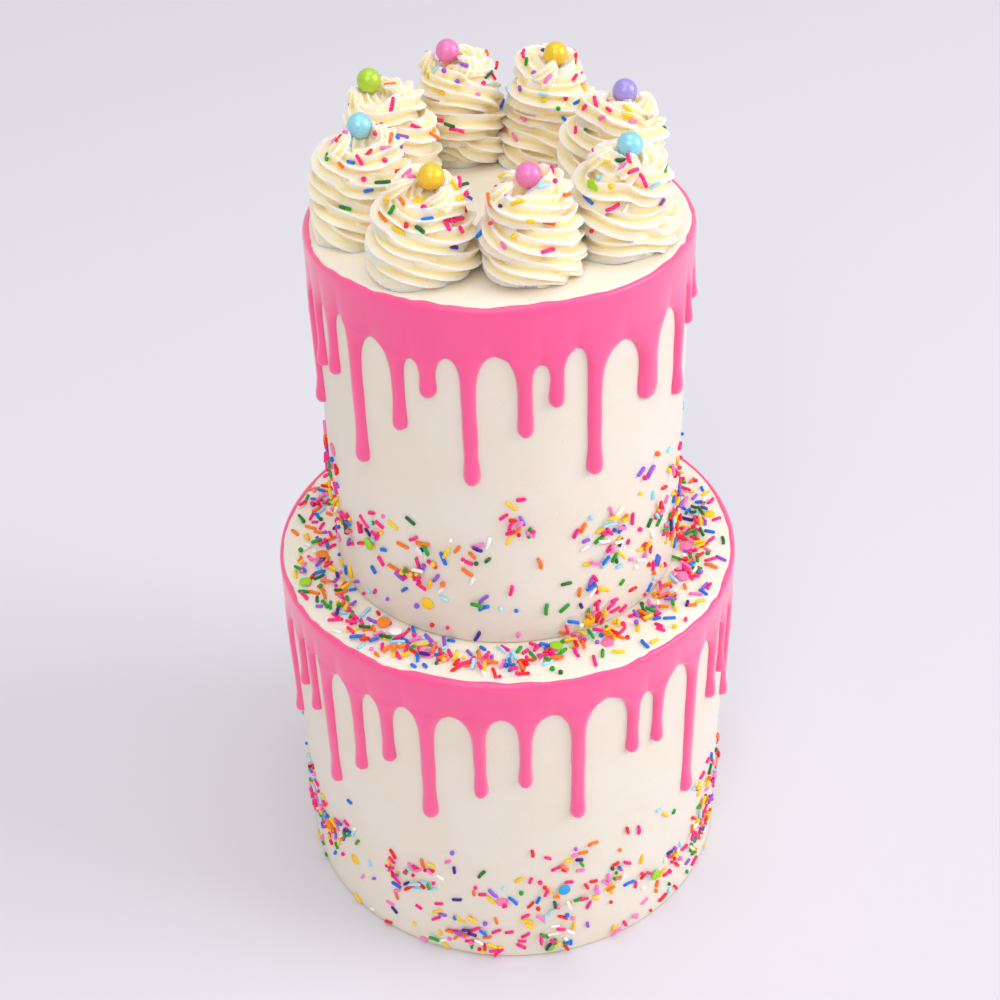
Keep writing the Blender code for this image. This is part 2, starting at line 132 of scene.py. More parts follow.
# Clumps of sprinkles: angle in degrees, height or distance, spread (millimetres) and count
LOWER_SIDE_CLUMPS = (
    (-163, 62, 10, 12), (-160, 34, 11, 24), (-150, 38, 9, 24), (-141, 50, 7, 15), (-119, 46, 8, 27),
    (-112, 57, 5, 6), (-103, 18, 9, 26), (-100, 9, 7, 8), (-95, 44, 5, 9), (-81, 40, 9, 25),
    (-80, 9, 7, 18), (-76, 60, 6, 10), (-68, 37, 6, 13), (-63, 46, 5, 7), (-60, 6, 6, 5),
    (-51, 30, 7, 13), (-44, 30, 6, 11), (-34, 20, 7, 10), (-28, 32, 9, 28), (-25, 56, 9, 14),
    (-18, 44, 12, 18),
)
UPPER_SIDE_CLUMPS = (
    (-165, 47, 9, 20), (-160, 32, 8, 16), (-150, 35, 6, 11), (-140, 42, 5, 8), (-134, 47, 4, 6),
    (-121, 31, 7, 24), (-114, 42, 4, 6), (-101, 48, 7, 10), (-98, 20, 6, 6), (-88, 62, 4, 12),
    (-67, 6, 5, 9), (-63, 22, 5, 8), (-60, 13, 5, 8), (-58, 36, 5, 9), (-56, 48, 7, 21),
    (-45, 66, 5, 3), (-43, 29, 6, 10), (-35, 39, 6, 7), (-24, 55, 8, 10), (-21, 30, 9, 26),
)
LEDGE_CLUMPS = (
    (-175, 88, 9, 26), (-160, 89, 9, 26), (-148, 89, 9, 24), (-135, 92, 7, 22), (-122, 90, 6, 18),
    (-112, 90, 6, 24), (-100, 91, 5, 15), (-88, 92, 5, 15), (-80, 86, 5, 20), (-72, 84, 4, 18),
    (-60, 84, 5, 12), (-48, 85, 5, 13), (-37, 84, 5, 22), (-22, 86, 6, 28), (-8, 87, 6, 24),
    (6, 90, 6, 20),
)
BACK_CLUMP_STEP = 13.0
BACK_STEP_SPREAD = (0.7, 1.2)
BACK_CLUMP_SPREAD = (5, 9)
BACK_CLUMP_COUNT = (10, 24)


def linear(red, green, blue):
    """A colour as seen on a screen, 0 to 255, in the linear values that shaders use."""
    return tuple(
        (part / 255 / 12.92) if part <= 10 else ((part / 255 + 0.055) / 1.055) ** 2.4
        for part in (red, green, blue)
    )


# Sprinkle colours and how common each is
SPRINKLE_COLOURS = (
    (linear(255, 25, 130), 24), (linear(255, 125, 195), 9), (linear(240, 20, 30), 10),
    (linear(255, 120, 0), 10), (linear(255, 208, 0), 12), (linear(15, 160, 30), 7),
    (linear(10, 105, 35), 3), (linear(0, 115, 225), 8), (linear(165, 225, 248), 6),
    (linear(155, 85, 215), 6), (linear(65, 15, 135), 3), (linear(252, 248, 240), 5),
)
DISC_COLOURS = (
    (linear(255, 205, 10), 4), (linear(255, 125, 180), 3), (linear(150, 215, 20), 2),
    (linear(35, 170, 230), 3), (linear(255, 140, 10), 2), (linear(200, 150, 235), 1),
    (linear(252, 248, 240), 1),
)
PEARL_COLOURS = {
    "pearl_yellow": (0.87, 0.56, 0.02), "pearl_pink": (0.86, 0.20, 0.48),
    "pearl_blue": (0.28, 0.66, 0.82), "pearl_lilac": (0.36, 0.29, 0.72),
    "pearl_green": (0.42, 0.64, 0.04),
}
PEARLS = (
    "pearl_yellow", "pearl_pink", "pearl_blue", "pearl_lilac",
    "pearl_yellow", "pearl_pink", "pearl_green", "pearl_blue",
)


def length(name, description, default):
    return FloatProperty(name=name, description=description, default=default, min=0, unit="LENGTH")


def colour(name, description, default):
    return FloatVectorProperty(
        name=name, description=description, default=default, subtype="COLOR", min=0, max=1
    )


class CreamSettings(bpy.types.PropertyGroup):
    """Sizes and colour of the buttercream tiers."""

    rim: length("Rim", "Radius of the soft edge round the top of a tier", RIM)
    foot: length("Foot", "Radius of the edge at the foot of a tier", 0.8 * MM)
    unevenness: length("Unevenness", "How far the wall wanders from a true round", 0.35 * MM)
    cream: colour("Cream", "Colour of the spread buttercream", (0.845, 0.782, 0.685))


class GlazeSettings(bpy.types.PropertyGroup):
    """Sizes and colour of the pink glaze."""

    band: length("Band", "Thickness of the glaze between rim and arches", 1.5 * MM)
    edge: length("Edge", "Thickness where the glaze ends", 0.45 * MM)
    lap: length("Lap", "How far the glaze reaches up over the rim", 2.2 * MM)
    neck: length("Neck", "Width of a run", 5.9 * MM)
    neck_thickness: length("Neck Thickness", "How far a run stands off the wall", 2.4 * MM)
    drop: length("Drop", "Width of the drop that ends a run", 7.0 * MM)
    drop_thickness: length("Drop Thickness", "How far the drop stands off the wall", 3.6 * MM)
    pink: colour("Pink", "Colour of the glaze", (1.0, 0.070, 0.28))


class SwirlSettings(bpy.types.PropertyGroup):
    """Sizes and colour of the piped swirls."""

    rope: length("Rope", "Radius of the piped rope", 8.4 * MM)
    ridges: IntProperty(name="Ridges", description="Points of the piping nozzle", default=8, min=4)
    grain: length("Grain", "Size of the finest detail", 0.45 * MM)
    cream: colour("Cream", "Colour of the piped buttercream", (1.0, 0.925, 0.79))


class SprinkleSettings(bpy.types.PropertyGroup):
    """Sizes and numbers of the sprinkles."""

    rod: length("Rod", "Radius of a rod", 0.8 * MM)
    shortest: length("Shortest", "Length of the shortest rods", 2.5 * MM)
    longest: length("Longest", "Length of the longest rods", 7.2 * MM)
    bead: length("Bead", "Radius of a bead", 1.1 * MM)
    disc: length("Disc", "Radius of a flat round", 2.9 * MM)
    side_strays: IntProperty(name="Side Strays", description="Loose ones on each side", default=150)
    ledge_strays: IntProperty(name="Ledge Strays", description="Loose ones on the ledge", default=120)
    on_swirl: IntProperty(name="On Each Swirl", description="Sprinkles on one swirl", default=36)


class StageSettings(bpy.types.PropertyGroup):
    """Floor, light and camera."""

    floor: colour("Floor", "Colour of the floor", (0.73, 0.71, 0.76))
    key: FloatProperty(name="Key", description="Power of the main light", default=90, unit="POWER")
    top: FloatProperty(name="Top", description="Power of the light above", default=36, unit="POWER")
    fill: FloatProperty(name="Fill", description="Power of the front light", default=32, unit="POWER")
    sky: FloatProperty(name="Sky", description="Strength of the even light all round", default=0.66)


SETTINGS = {
    "cake_cream": CreamSettings,
    "cake_glaze": GlazeSettings,
    "cake_swirls": SwirlSettings,
    "cake_sprinkles": SprinkleSettings,
    "cake_stage": StageSettings,
}


# Working on objects

def activate(item):
    """Selects an object alone and makes it the active one."""
    for other in bpy.context.view_layer.objects:
        other.select_set(False)
    item.select_set(True)
    bpy.context.view_layer.objects.active = item
    return item


def new_item():
    """The object that an operator has just added."""
    return bpy.context.view_layer.objects.active


def apply_modifier(item, kind, **settings):
    activate(item)
    modifier = item.modifiers.new(kind.title(), kind)
    for name, value in settings.items():
        setattr(modifier, name, value)
    bpy.ops.object.modifier_apply(modifier=modifier.name)


def link(name, data):
    """A new object in the scene that shows this mesh or curve."""
    item = bpy.data.objects.new(name, data)
    bpy.context.scene.collection.objects.link(item)
    return item


def item_from_shape(name, shape):
    """An object from a bmesh, its faces turned outwards and smooth."""
    bmesh.ops.recalc_face_normals(shape, faces=shape.faces)
    mesh = bpy.data.meshes.new(name)
    shape.to_mesh(mesh)
    shape.free()
    mesh.shade_smooth()
    return link(name, mesh)


def finish_piece(item, name, material, slot, *nodes):
    """Settles the piece's place into its mesh, gives it its material and ties it to the frame."""
    activate(item)
    bpy.ops.object.transform_apply(location=True, rotation=True, scale=True)
    item.name = name
    item.data.name = name
    item.data.materials.clear()
    item.data.materials.append(material)
    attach(item, BODY)
    if nodes:
        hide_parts(*nodes)


def pearl_place(number):
    """Middle of a pearl, as the frame has it."""
    low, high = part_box(f"pearl_{number}")
    return (low + high) / 2


def polar(radius, degrees, height=0.0):
    """A place at so far from the cake's axis, at an angle and a height."""
    angle = math.radians(degrees)
    return Vector((radius * math.cos(angle), radius * math.sin(angle), height))


def mix(start, end, share):
    """A value at a share of the way from start to end."""
    return start + (end - start) * share


def smooth(low, high, value):
    """Nought up to low, one from high on, with an easy passage between them."""
    share = min(1.0, max(0.0, (value - low) / (high - low)))
    return share * share * (3 - 2 * share)


# Materials

# Paler tone painted on the tiers' tops, as light falling from above
PAINTED_TOP_LIGHT = (0.90, 0.84, 0.72)
# Warm golden shade painted in the crease at each tier's foot
PAINTED_FOOT_SHADE = (0.62, 0.42, 0.16)


class Value:
    """A node's output in Python arithmetic: each operator adds the Math node that works it out."""

    def __init__(self, finish, socket):
        self.finish = finish
        self.socket = socket

    def math(self, operation, *values):
        return self.finish.node("Math", {"operation": operation}, dict(enumerate(values)))

    def __add__(self, other):
        return self.math("ADD", self, other)

    def __sub__(self, other):
        return self.math("SUBTRACT", self, other)

    def __rsub__(self, other):
        return self.math("SUBTRACT", other, self)

    def __mul__(self, other):
        return self.math("MULTIPLY", self, other)

    __radd__ = __add__
    __rmul__ = __mul__


class Finish:
    """A material being made around one Principled shader."""

    def __init__(self, name, **constants):
        self.material = bpy.data.materials.new(name)
        self.material.use_nodes = True
        self.tree = self.material.node_tree
        self.shader = self.tree.nodes["Principled BSDF"]
        for socket, value in constants.items():
            self.shader.inputs[socket.replace("_", " ")].default_value = value

    def node(self, kind, settings=None, sockets=None, output=0):
        """Adds a node: its settings first, then its sockets' values or links."""
        node = self.tree.nodes.new("ShaderNode" + kind)
        for name, value in (settings or {}).items():
            if name == "stops":
                self.set_stops(node.color_ramp, value)
            else:
                setattr(node, name, value)
        for name, value in (sockets or {}).items():
            self.feed(node.inputs[name], value)
        return Value(self, node.outputs[output])

    def set_stops(self, ramp, stops):
        while len(ramp.elements) < len(stops):
            ramp.elements.new(0.5)
        for element, (place, level) in zip(ramp.elements, stops):
            element.position = place
            element.color = (level, level, level, 1.0)

    def feed(self, socket, value):
        if isinstance(value, Value):
            self.tree.links.new(value.socket, socket)
        else:
            socket.default_value = value

    def place(self, scale=(1.0, 1.0, 1.0)):
        spot = self.node("TexCoord", output="Object")
        return self.node("Mapping", {}, {"Vector": spot, "Scale": scale})

    def noise(self, scale, detail=2.0, stretch=(1.0, 1.0, 1.0)):
        sockets = {"Vector": self.place(stretch), "Scale": scale, "Detail": detail}
        return self.node("TexNoise", {}, sockets)

    def ramp(self, value, *stops):
        return self.node("ValToRGB", {"stops": stops}, {0: value})

    def blend(self, share, first, second):
        """Two colours mixed by a share."""
        sockets = {0: share, 6: opaque(first), 7: opaque(second)}
        return self.node("Mix", {"data_type": "RGBA"}, sockets, output=2)

    def bump(self, height, distance, strength=1.0):
        sockets = {"Height": height, "Distance": distance, "Strength": strength}
        self.feed(self.shader.inputs["Normal"], self.node("Bump", {}, sockets))

    def set(self, **sockets):
        for name, value in sockets.items():
            self.feed(self.shader.inputs[name.replace("_", " ")], value)
        return self.material


def opaque(value):
    return value if isinstance(value, Value) else (*value, 1.0)


def shade_of(base, factor):
    return tuple(min(1.0, part * factor) for part in base)


def spread_cream_material(name, cream, base, top):
    """Scraped buttercream: faint level scrape marks, small pores and a soft satin; paler on top as
    painted light from above, with painted warm shade at the foot.
    """
    finish = Finish(
        name, Subsurface_Weight=0.35, Subsurface_Scale=4 * MM,
        Subsurface_Radius=(1.0, 0.65, 0.35), Specular_IOR_Level=0.35,
    )
    patches = finish.noise(28.0, 3.0)
    streaks = finish.noise(1.0, 3.0, (14.0, 14.0, 420.0))
    pores = finish.ramp(finish.noise(900.0, 1.0), (0.30, 0.0), (0.38, 1.0))
    warmer = (cream[0] * 0.985, cream[1] * 0.955, cream[2] * 0.90)
    wall = finish.blend(finish.ramp(patches, (0.35, 0.0), (0.68, 1.0)), cream, warmer)
    height = finish.node("SeparateXYZ", {}, {"Vector": finish.place()}, output=2)
    # Painted light: the top of the tier is painted paler, as it looks where light falls from above
    painted_top_light_mask = finish.ramp((height - (top - 2.0 * MM)) * 500.0, (0.0, 0.0), (0.9, 1.0))
    tone = finish.blend(painted_top_light_mask, wall, PAINTED_TOP_LIGHT)
    # Painted shade: a warm golden line along the crease at the tier's foot, where the gap lies in shadow
    painted_foot_shade_mask = finish.ramp((height - base) * 500.0 + patches * 0.3, (0.35, 1.0), (0.75, 0.0))
    tone = finish.blend(painted_foot_shade_mask * 0.8, tone, PAINTED_FOOT_SHADE)
    finish.bump(streaks * 0.7 + pores * 0.25 + patches * 1.2, 0.16 * MM)
    return finish.set(Base_Color=tone, Roughness=0.42 + patches * 0.14)


def piped_cream_material(cream):
    """Piped buttercream: crests painted paler as a highlight, grooves painted deeper yellow as warm
    shade, and the drag of the nozzle.
    """
    finish = Finish(
        "piped_cream", Subsurface_Weight=0.85, Subsurface_Scale=6 * MM,
        Subsurface_Radius=(1.0, 0.70, 0.30), Specular_IOR_Level=0.35,
    )
    pointed = finish.node("NewGeometry", output="Pointiness")
    # Painted light: crests, found by pointiness, are painted paler as a highlight
    crest = finish.ramp(pointed, (0.47, 0.0), (0.53, 1.0))
    # Painted shade: grooves are painted deeper yellow, as the warm shade inside them
    groove = (cream[0], cream[1] * 0.88, cream[2] * 0.52)
    pale = (cream[0] * 0.98, cream[1] * 0.96, min(1.0, cream[2] * 1.10))
    patches = finish.noise(60.0, 3.0)
    grain = finish.noise(700.0, 2.0)
    finish.bump(grain * 0.5 + patches, 0.12 * MM)
    return finish.set(Base_Color=finish.blend(crest, groove, pale), Roughness=0.36 + patches * 0.16)


def glaze_material(pink):
    """Set chocolate glaze: even pink with a soft gloss and a hardly uneven skin."""
    finish = Finish(
        "pink_glaze", Subsurface_Weight=0.12, Subsurface_Scale=2 * MM,
        Subsurface_Radius=(1.0, 0.35, 0.45), Specular_IOR_Level=0.6,
        Sheen_Weight=0.35, Sheen_Roughness=0.5, Coat_Weight=0.5, Coat_Roughness=0.45,
    )
    patches = finish.noise(40.0, 3.0)
    skin = finish.noise(420.0, 2.0)
    deeper = (pink[0] * 0.96, pink[1] * 0.86, pink[2] * 0.92)
    tone = finish.blend(finish.ramp(patches, (0.35, 0.0), (0.7, 1.0)), pink, deeper)
    finish.bump(skin * 0.35 + patches, 0.10 * MM)
    return finish.set(Base_Color=tone, Roughness=0.30 + patches * 0.12)


def pearl_material(name, base):
    """A sugar pearl: coloured shell with fine paler flecks painted as the glints of a pearly shimmer, and
    a clear gloss.
    """
    finish = Finish(
        name, Metallic=0.25, Coat_Weight=0.35, Coat_Roughness=0.18, Specular_IOR_Level=0.6,
    )
    shimmer = finish.noise(1500.0, 2.0)
    clouds = finish.noise(160.0, 2.0)
    pale = shade_of(base, 1.22)
    # Painted glints: fine paler flecks stand in for the pearly shimmer
    tone = finish.blend(finish.ramp(shimmer, (0.40, 0.0), (0.72, 1.0)), base, pale)
    finish.bump(clouds * 0.8 + shimmer * 0.2, 0.08 * MM)
    return finish.set(Base_Color=tone, Roughness=0.30 + clouds * 0.14)


def sprinkle_material():
    """Sugar strands: each has its own colour, with a slightly mottled, waxy surface."""
    finish = Finish("sprinkles", Specular_IOR_Level=0.3)
    tint = finish.node("Attribute", {"attribute_name": "tint"})
    mottle = finish.noise(1300.0, 2.0)
    paler = finish.blend(finish.ramp(mottle, (0.50, 0.0), (0.80, 0.12)), tint, (1.0, 0.97, 0.94))
    finish.bump(mottle, 0.06 * MM)
    return finish.set(Base_Color=paler, Roughness=0.34 + mottle * 0.2)


def floor_material(base):
    finish = Finish("floor", Specular_IOR_Level=0.2)
    return finish.set(Base_Color=(*base, 1.0), Roughness=0.65)


# Tiers

WALL_COLUMNS = 180
WALL_ROWS = 26
TOP_RINGS = 5
TOP_INSET = 0.8
RIM_STEPS = 6
FOOT_STEPS = 3

# How dense the unevenness is and what share of it each kind takes
BROAD_WANDER = (22.0, 0.7)
SCRAPE_ACROSS = 8
SCRAPE_UP = 90
SCRAPE_WANDER = 0.35
TOP_WANDER = (35, 0.8)


def spread_tier(radius, base, height, settings):
    """A round of cake under smooth buttercream, its top edge soft and its wall slightly uneven."""
    bpy.ops.mesh.primitive_cylinder_add(
        vertices=WALL_COLUMNS, radius=radius, depth=height, location=(0, 0, base + height / 2)
    )
    item = activate(new_item())
    bpy.ops.object.transform_apply(location=True)
    bevel_rim(item, base + height, settings.rim, RIM_STEPS)
    bevel_rim(item, base, settings.foot, FOOT_STEPS)
    bpy.ops.object.mode_set(mode="EDIT")
    for row in range(1, WALL_ROWS):
        bpy.ops.mesh.select_all(action="SELECT")
        bpy.ops.mesh.bisect(plane_co=(0, 0, base + height * row / WALL_ROWS), plane_no=(0, 0, 1))
    bpy.ops.mesh.select_mode(type="FACE")
    for _ in range(TOP_RINGS):
        select_top_face(item, base + height)
        bpy.ops.mesh.inset(thickness=radius * TOP_INSET / TOP_RINGS)
    bpy.ops.mesh.poke()
    bpy.ops.object.mode_set(mode="OBJECT")
    wander(item, radius, base, height, settings.unevenness)
    item.data.shade_smooth()
    return item


def bevel_rim(item, level, width, segments):
    """Rounds the edge loop at one level."""
    bpy.ops.object.mode_set(mode="EDIT")
    bpy.ops.mesh.select_mode(type="EDGE")
    bpy.ops.mesh.select_all(action="DESELECT")
    shape = bmesh.from_edit_mesh(item.data)
    for edge in shape.edges:
        edge.select = all(abs(end.co.z - level) < width / 10 for end in edge.verts)
    bmesh.update_edit_mesh(item.data)
    bpy.ops.mesh.bevel(offset=width, segments=segments, profile=0.5)
    bpy.ops.object.mode_set(mode="OBJECT")


def select_top_face(item, level):
    """Selects the one large face that is left in the middle of the top."""
    bpy.ops.mesh.select_all(action="DESELECT")
    shape = bmesh.from_edit_mesh(item.data)
    flat = [face for face in shape.faces if abs(face.calc_center_median().z - level) < MM / 10]
    max(flat, key=lambda face: face.calc_area() if len(face.verts) > 4 else 0).select = True
    bmesh.update_edit_mesh(item.data)


def wander(item, radius, base, height, reach):
    """Moves the wall and the top a little, as a hand-held scraper leaves them."""
    for point in item.data.vertices:
        spot = point.co.copy()
        level = (spot.z - base) / height
        outwards = Vector((spot.x, spot.y, 0)) / radius
        broad = noise.noise(spot * BROAD_WANDER[0]) * BROAD_WANDER[1]
        scrape = Vector((spot.x * SCRAPE_ACROSS, spot.y * SCRAPE_ACROSS, spot.z * SCRAPE_UP))
        move = (broad + noise.noise(scrape) * SCRAPE_WANDER) * reach * smooth(0.0, 0.04, level)
        point.co += outwards * move
        if level > 0.98:
            flat = Vector((spot.x, spot.y, 0))
            point.co.z += noise.noise(flat * TOP_WANDER[0]) * reach * TOP_WANDER[1]


# Glaze

COLUMNS = (-1.0, -0.74, -0.38, 0.0, 0.38, 0.74, 1.0)
ARCH_STEPS = (0.0, 18.0, 36.0, 54.0, 72.0, 90.0)
DROP_STEPS = (0.0, 28.0, 54.0, 76.0)
SUNK = -0.8 * MM
RUN_ROW = 4.5 * MM
TAIL = 1.1 * MM
DROP_START = 3.4
NECK_TAPER = 0.95
NECK_THINNING = 0.86
RUN_WOBBLE = 0.05
RUN_WOBBLE_BEAT = 320
ARCH_FULLNESS = 4.0
LEG_FULLNESS = 2.2
RUN_FULLNESS = 2.1

# The glaze's wavering upper edge: waves (how many go round, size), a slow drift and small nicks
LAP_WAVES = ((3, 0.28), (7, 0.18), (13, 0.08), (29, 0.05))
LAP_DRIFT = 0.23
LAP_DRIFT_SIZE = 0.45
NICK_BEAT = 0.55
NICK_FROM = 0.28
NICK_DEPTH = 1.6
LEAST_LAP = 0.25

# The glaze over the rim: its sunk edge and lip, then shares of the lap and of the band's thickness
LAP_SINK = -0.35 * MM
LAP_LIP = 0.3 * MM
LAP_FRONT = ((0.8, 0.62), (0.4, 0.9))
LAP_BACK = (1.0, 0.92, 0.7, 0.35)


def all_runs(front_runs, back_count, dice):
    """The front's runs and, round the back, more of them at an uneven beat."""
    runs = [(angle, reach * MM, breadth, arch * MM) for angle, reach, breadth, arch in front_runs]
    first = front_runs[-1][0]
    step = (front_runs[0][0] + 360 - first) / (back_count + 1)
    for index in range(back_count):
        angle = first + step * (index + 1 + dice.uniform(-BACK_BEAT_SPREAD, BACK_BEAT_SPREAD))
        reach = BACK_RUN_LENGTHS[index % len(BACK_RUN_LENGTHS)]
        reach += dice.uniform(-BACK_LENGTH_SPREAD, BACK_LENGTH_SPREAD)
        arch = ARCH_DEPTH + dice.uniform(-ARCH_DEPTH_SPREAD, ARCH_DEPTH_SPREAD)
        runs.append((angle, reach * MM, dice.uniform(*BACK_BREADTHS), arch))
    return runs


class Arch:
    """The arch between one run and the next: its middle angle, its depth and half its width."""

    def __init__(self, runs, index, radius, neck):
        here = runs[index][0]
        after = runs[(index + 1) % len(runs)][0]
        gap = (after - here) % 360
        self.degrees = here + gap / 2
        self.depth = runs[index][3]
        self.half_gap = max(math.radians(gap) * radius - neck, MM) / 2
        self.height = min(ARCH_HEIGHT, 2 * self.half_gap)


class GlazeCage:
    """The cage of a glaze: rows of front points over the wall and back points sunk in the cream."""

    def __init__(self, radius, top, settings, dice):
        self.shape = bmesh.new()
        self.radius = radius
        self.top = top
        self.settings = settings
        self.phase = [dice.uniform(0, 360) for _ in LAP_WAVES]

    def point(self, degrees, out, height):
        return self.shape.verts.new(polar(self.radius + out, degrees, self.top + height))

    def lap(self, degrees):
        """How far the glaze reaches over the rim at an angle: a wavering line with small nicks."""
        waver = sum(
            math.sin(math.radians(degrees * beat + phase)) * size
            for (beat, size), phase in zip(LAP_WAVES, self.phase)
        )
        waver += noise.noise(Vector((degrees * LAP_DRIFT, self.phase[0], 0))) * LAP_DRIFT_SIZE
        nick = noise.noise(Vector((degrees * NICK_BEAT, self.phase[1], 3.0))) - NICK_FROM
        return self.settings.lap * max(LEAST_LAP, 1 + waver - max(0.0, nick) * NICK_DEPTH)

    def over_rim(self, way, thick):
        """How far out and how high a point is that stands off the rim, so far up over its round."""
        turn = min(way / RIM, math.pi / 2)
        inwards = max(0.0, way - RIM * math.pi / 2)
        return (RIM + thick) * math.cos(turn) - RIM - inwards, (RIM + thick) * math.sin(turn) - RIM

    def upper_column(self, degrees, depth, crest, edge):
        """Points from the glaze's edge over the rim and down to an arch's level."""
        band = self.settings.band
        lap = self.lap(degrees)
        over = [(lap, LAP_SINK), (lap, LAP_LIP)]
        over += [(lap * share, part * band) for share, part in LAP_FRONT]
        front = [self.over_rim(way, thick) for way, thick in over]
        front += [
            (band * 0.97, -RIM), (band, -2.4 * RIM), (mix(band, crest, 0.1), -depth * 0.45),
            (mix(band, crest, 0.3), -depth * 0.72),
            (mix(band, crest, 0.6) * 0.95, 1.6 * MM - depth), (max(edge, crest), -depth),
        ]
        back = [self.over_rim(lap * share, SUNK) for share in LAP_BACK]
        back += [(SUNK, height) for _, height in front[4:]]
        return (
            [self.point(degrees, out, height) for out, height in front],
            [self.point(degrees, out, height) for out, height in back],
        )

    def row(self, degrees, halves, depths, crest, edge, fullness):
        """Front and back points across a run at one level."""
        front = []
        back = []
        for column in COLUMNS:
            side = 0 if column < 0 else 1
            offset = math.degrees(column * halves[side] / self.radius)
            depth = mix(sum(depths) / 2, depths[side], abs(column) ** 1.5)
            thick = mix(edge, crest, math.sqrt(1 - abs(column) ** fullness))
            front.append(self.point(degrees + offset, thick, -depth))
            back.append(self.point(degrees + offset, SUNK, -depth))
        return front, back

    def across(self, above, below):
        """Front and back faces between two rows, or two columns turned on their side."""
        for (upper, lower), turned in zip(zip(above, below), (False, True)):
            for index in range(len(upper) - 1):
                corners = (upper[index], lower[index], lower[index + 1], upper[index + 1])
                self.shape.faces.new(reversed(corners) if turned else corners)

    def walls(self, above, below):
        """The two side faces of a run between two rows."""
        for end in (0, -1):
            corners = (above[0][end], above[1][end], below[1][end], below[0][end])
            self.shape.faces.new(corners)

    def run(self, run, left_seam, right_seam, arches, dice):
        degrees, reach, breadth, _ = run
        reach += TAIL
        settings = self.settings
        neck = breadth * settings.neck / 2
        drop = breadth * settings.drop / 2
        crest = settings.neck_thickness * mix(1.0, breadth, 0.5)
        columns = [left_seam]
        for column in COLUMNS[1:-1]:
            arch = arches[0 if column < 0 else 1]
            full = neck + arch.half_gap
            offset = math.degrees(column * full / self.radius)
            middle = (arches[0].depth + arches[1].depth) / 2
            depth = mix(middle, arch.depth, abs(column) ** 1.5)
            swell = math.sqrt(1 - abs(column) ** 4) * mix(settings.band, crest, 0.6 - abs(column) * 0.4)
            columns.append(self.upper_column(degrees + offset, depth, swell, settings.edge))
        columns.append(right_seam)
        for left, right in zip(columns, columns[1:]):
            self.across(left, right)
            self.shape.faces.new((left[0][0], right[0][0], right[1][0], left[1][0]))
        rows = [tuple([column[side][-1] for column in columns] for side in (0, 1))]
        rows += self.lower_rows(degrees, reach, neck, drop, crest, arches, dice)
        for above, below in zip(rows, rows[1:]):
            self.across(above, below)
            self.walls(above, below)
        front, back = rows[-1]
        for index in range(len(COLUMNS) - 1):
            self.shape.faces.new((front[index], front[index + 1], back[index + 1], back[index]))

    def lower_rows(self, degrees, reach, neck, drop, crest, arches, dice):
        """Rows down the two arches' legs, the neck and the drop."""
        settings = self.settings
        rows = []
        lowest = reach - 2 * drop * SHORTEST_NECK
        heights = [min(arch.height, lowest - arch.depth) for arch in arches]
        for turn in ARCH_STEPS[1:]:
            angle = math.radians(turn)
            halves = [neck + arch.half_gap * (1 - math.sin(angle)) for arch in arches]
            depths = [
                arch.depth + height * (1 - math.cos(angle)) for arch, height in zip(arches, heights)
            ]
            fullness = mix(ARCH_FULLNESS, LEG_FULLNESS, math.sin(angle))
            thick = mix(mix(settings.band, crest, 0.5), crest, math.sin(angle))
            rows.append(self.row(degrees, halves, depths, thick, settings.edge, fullness))
        start = max(arch.depth + height for arch, height in zip(arches, heights))
        swell_from = reach - DROP_START * drop
        count = max(1, round((reach - drop - start) / RUN_ROW))
        sway = dice.uniform(-0.5, 0.5)
        for step in range(1, count + 1):
            depth = mix(start, reach - drop, step / count)
            into_drop = smooth(swell_from, reach - drop, depth)
            wobble = 1 + RUN_WOBBLE * math.sin(depth * RUN_WOBBLE_BEAT + sway * 9)
            half = mix(neck * mix(1.0, NECK_TAPER, step / count) * wobble, drop, into_drop)
            thick = crest * mix(1.0, NECK_THINNING, step / count)
            thick = mix(thick, settings.drop_thickness, into_drop)
            bend = degrees + math.degrees(sway * MM * smooth(start, reach, depth) / self.radius)
            rows.append(self.row(bend, (half,) * 2, (depth,) * 2, thick, settings.edge, RUN_FULLNESS))
        bend = degrees + math.degrees(sway * MM / self.radius)
        for turn in DROP_STEPS[1:]:
            angle = math.radians(turn)
            half = drop * math.cos(angle)
            depth = reach - drop * (1 - math.sin(angle))
            thick = mix(settings.edge, settings.drop_thickness, math.cos(angle) ** 0.8)
            rows.append(self.row(bend, (half,) * 2, (depth,) * 2, thick, settings.edge, RUN_FULLNESS))
        return rows


def glaze(radius, top, front_runs, back_count, seed, settings):
    """Glaze over one rim, with a run at each stated angle, smoothed from its cage."""
    dice = random.Random(seed)
    runs = all_runs(front_runs, back_count, dice)
    arches = [Arch(runs, index, radius, settings.neck) for index in range(len(runs))]
    cage = GlazeCage(radius, top, settings, dice)
    seams = [cage.upper_column(arch.degrees, arch.depth, 0.0, settings.edge) for arch in arches]
    for index, run in enumerate(runs):
        flanks = (arches[index - 1], arches[index])
        cage.run(run, seams[index - 1], seams[index], flanks, dice)
    item = item_from_shape("glaze", cage.shape)
    apply_modifier(item, "SUBSURF", levels=1, render_levels=1)
    return item


# Swirls

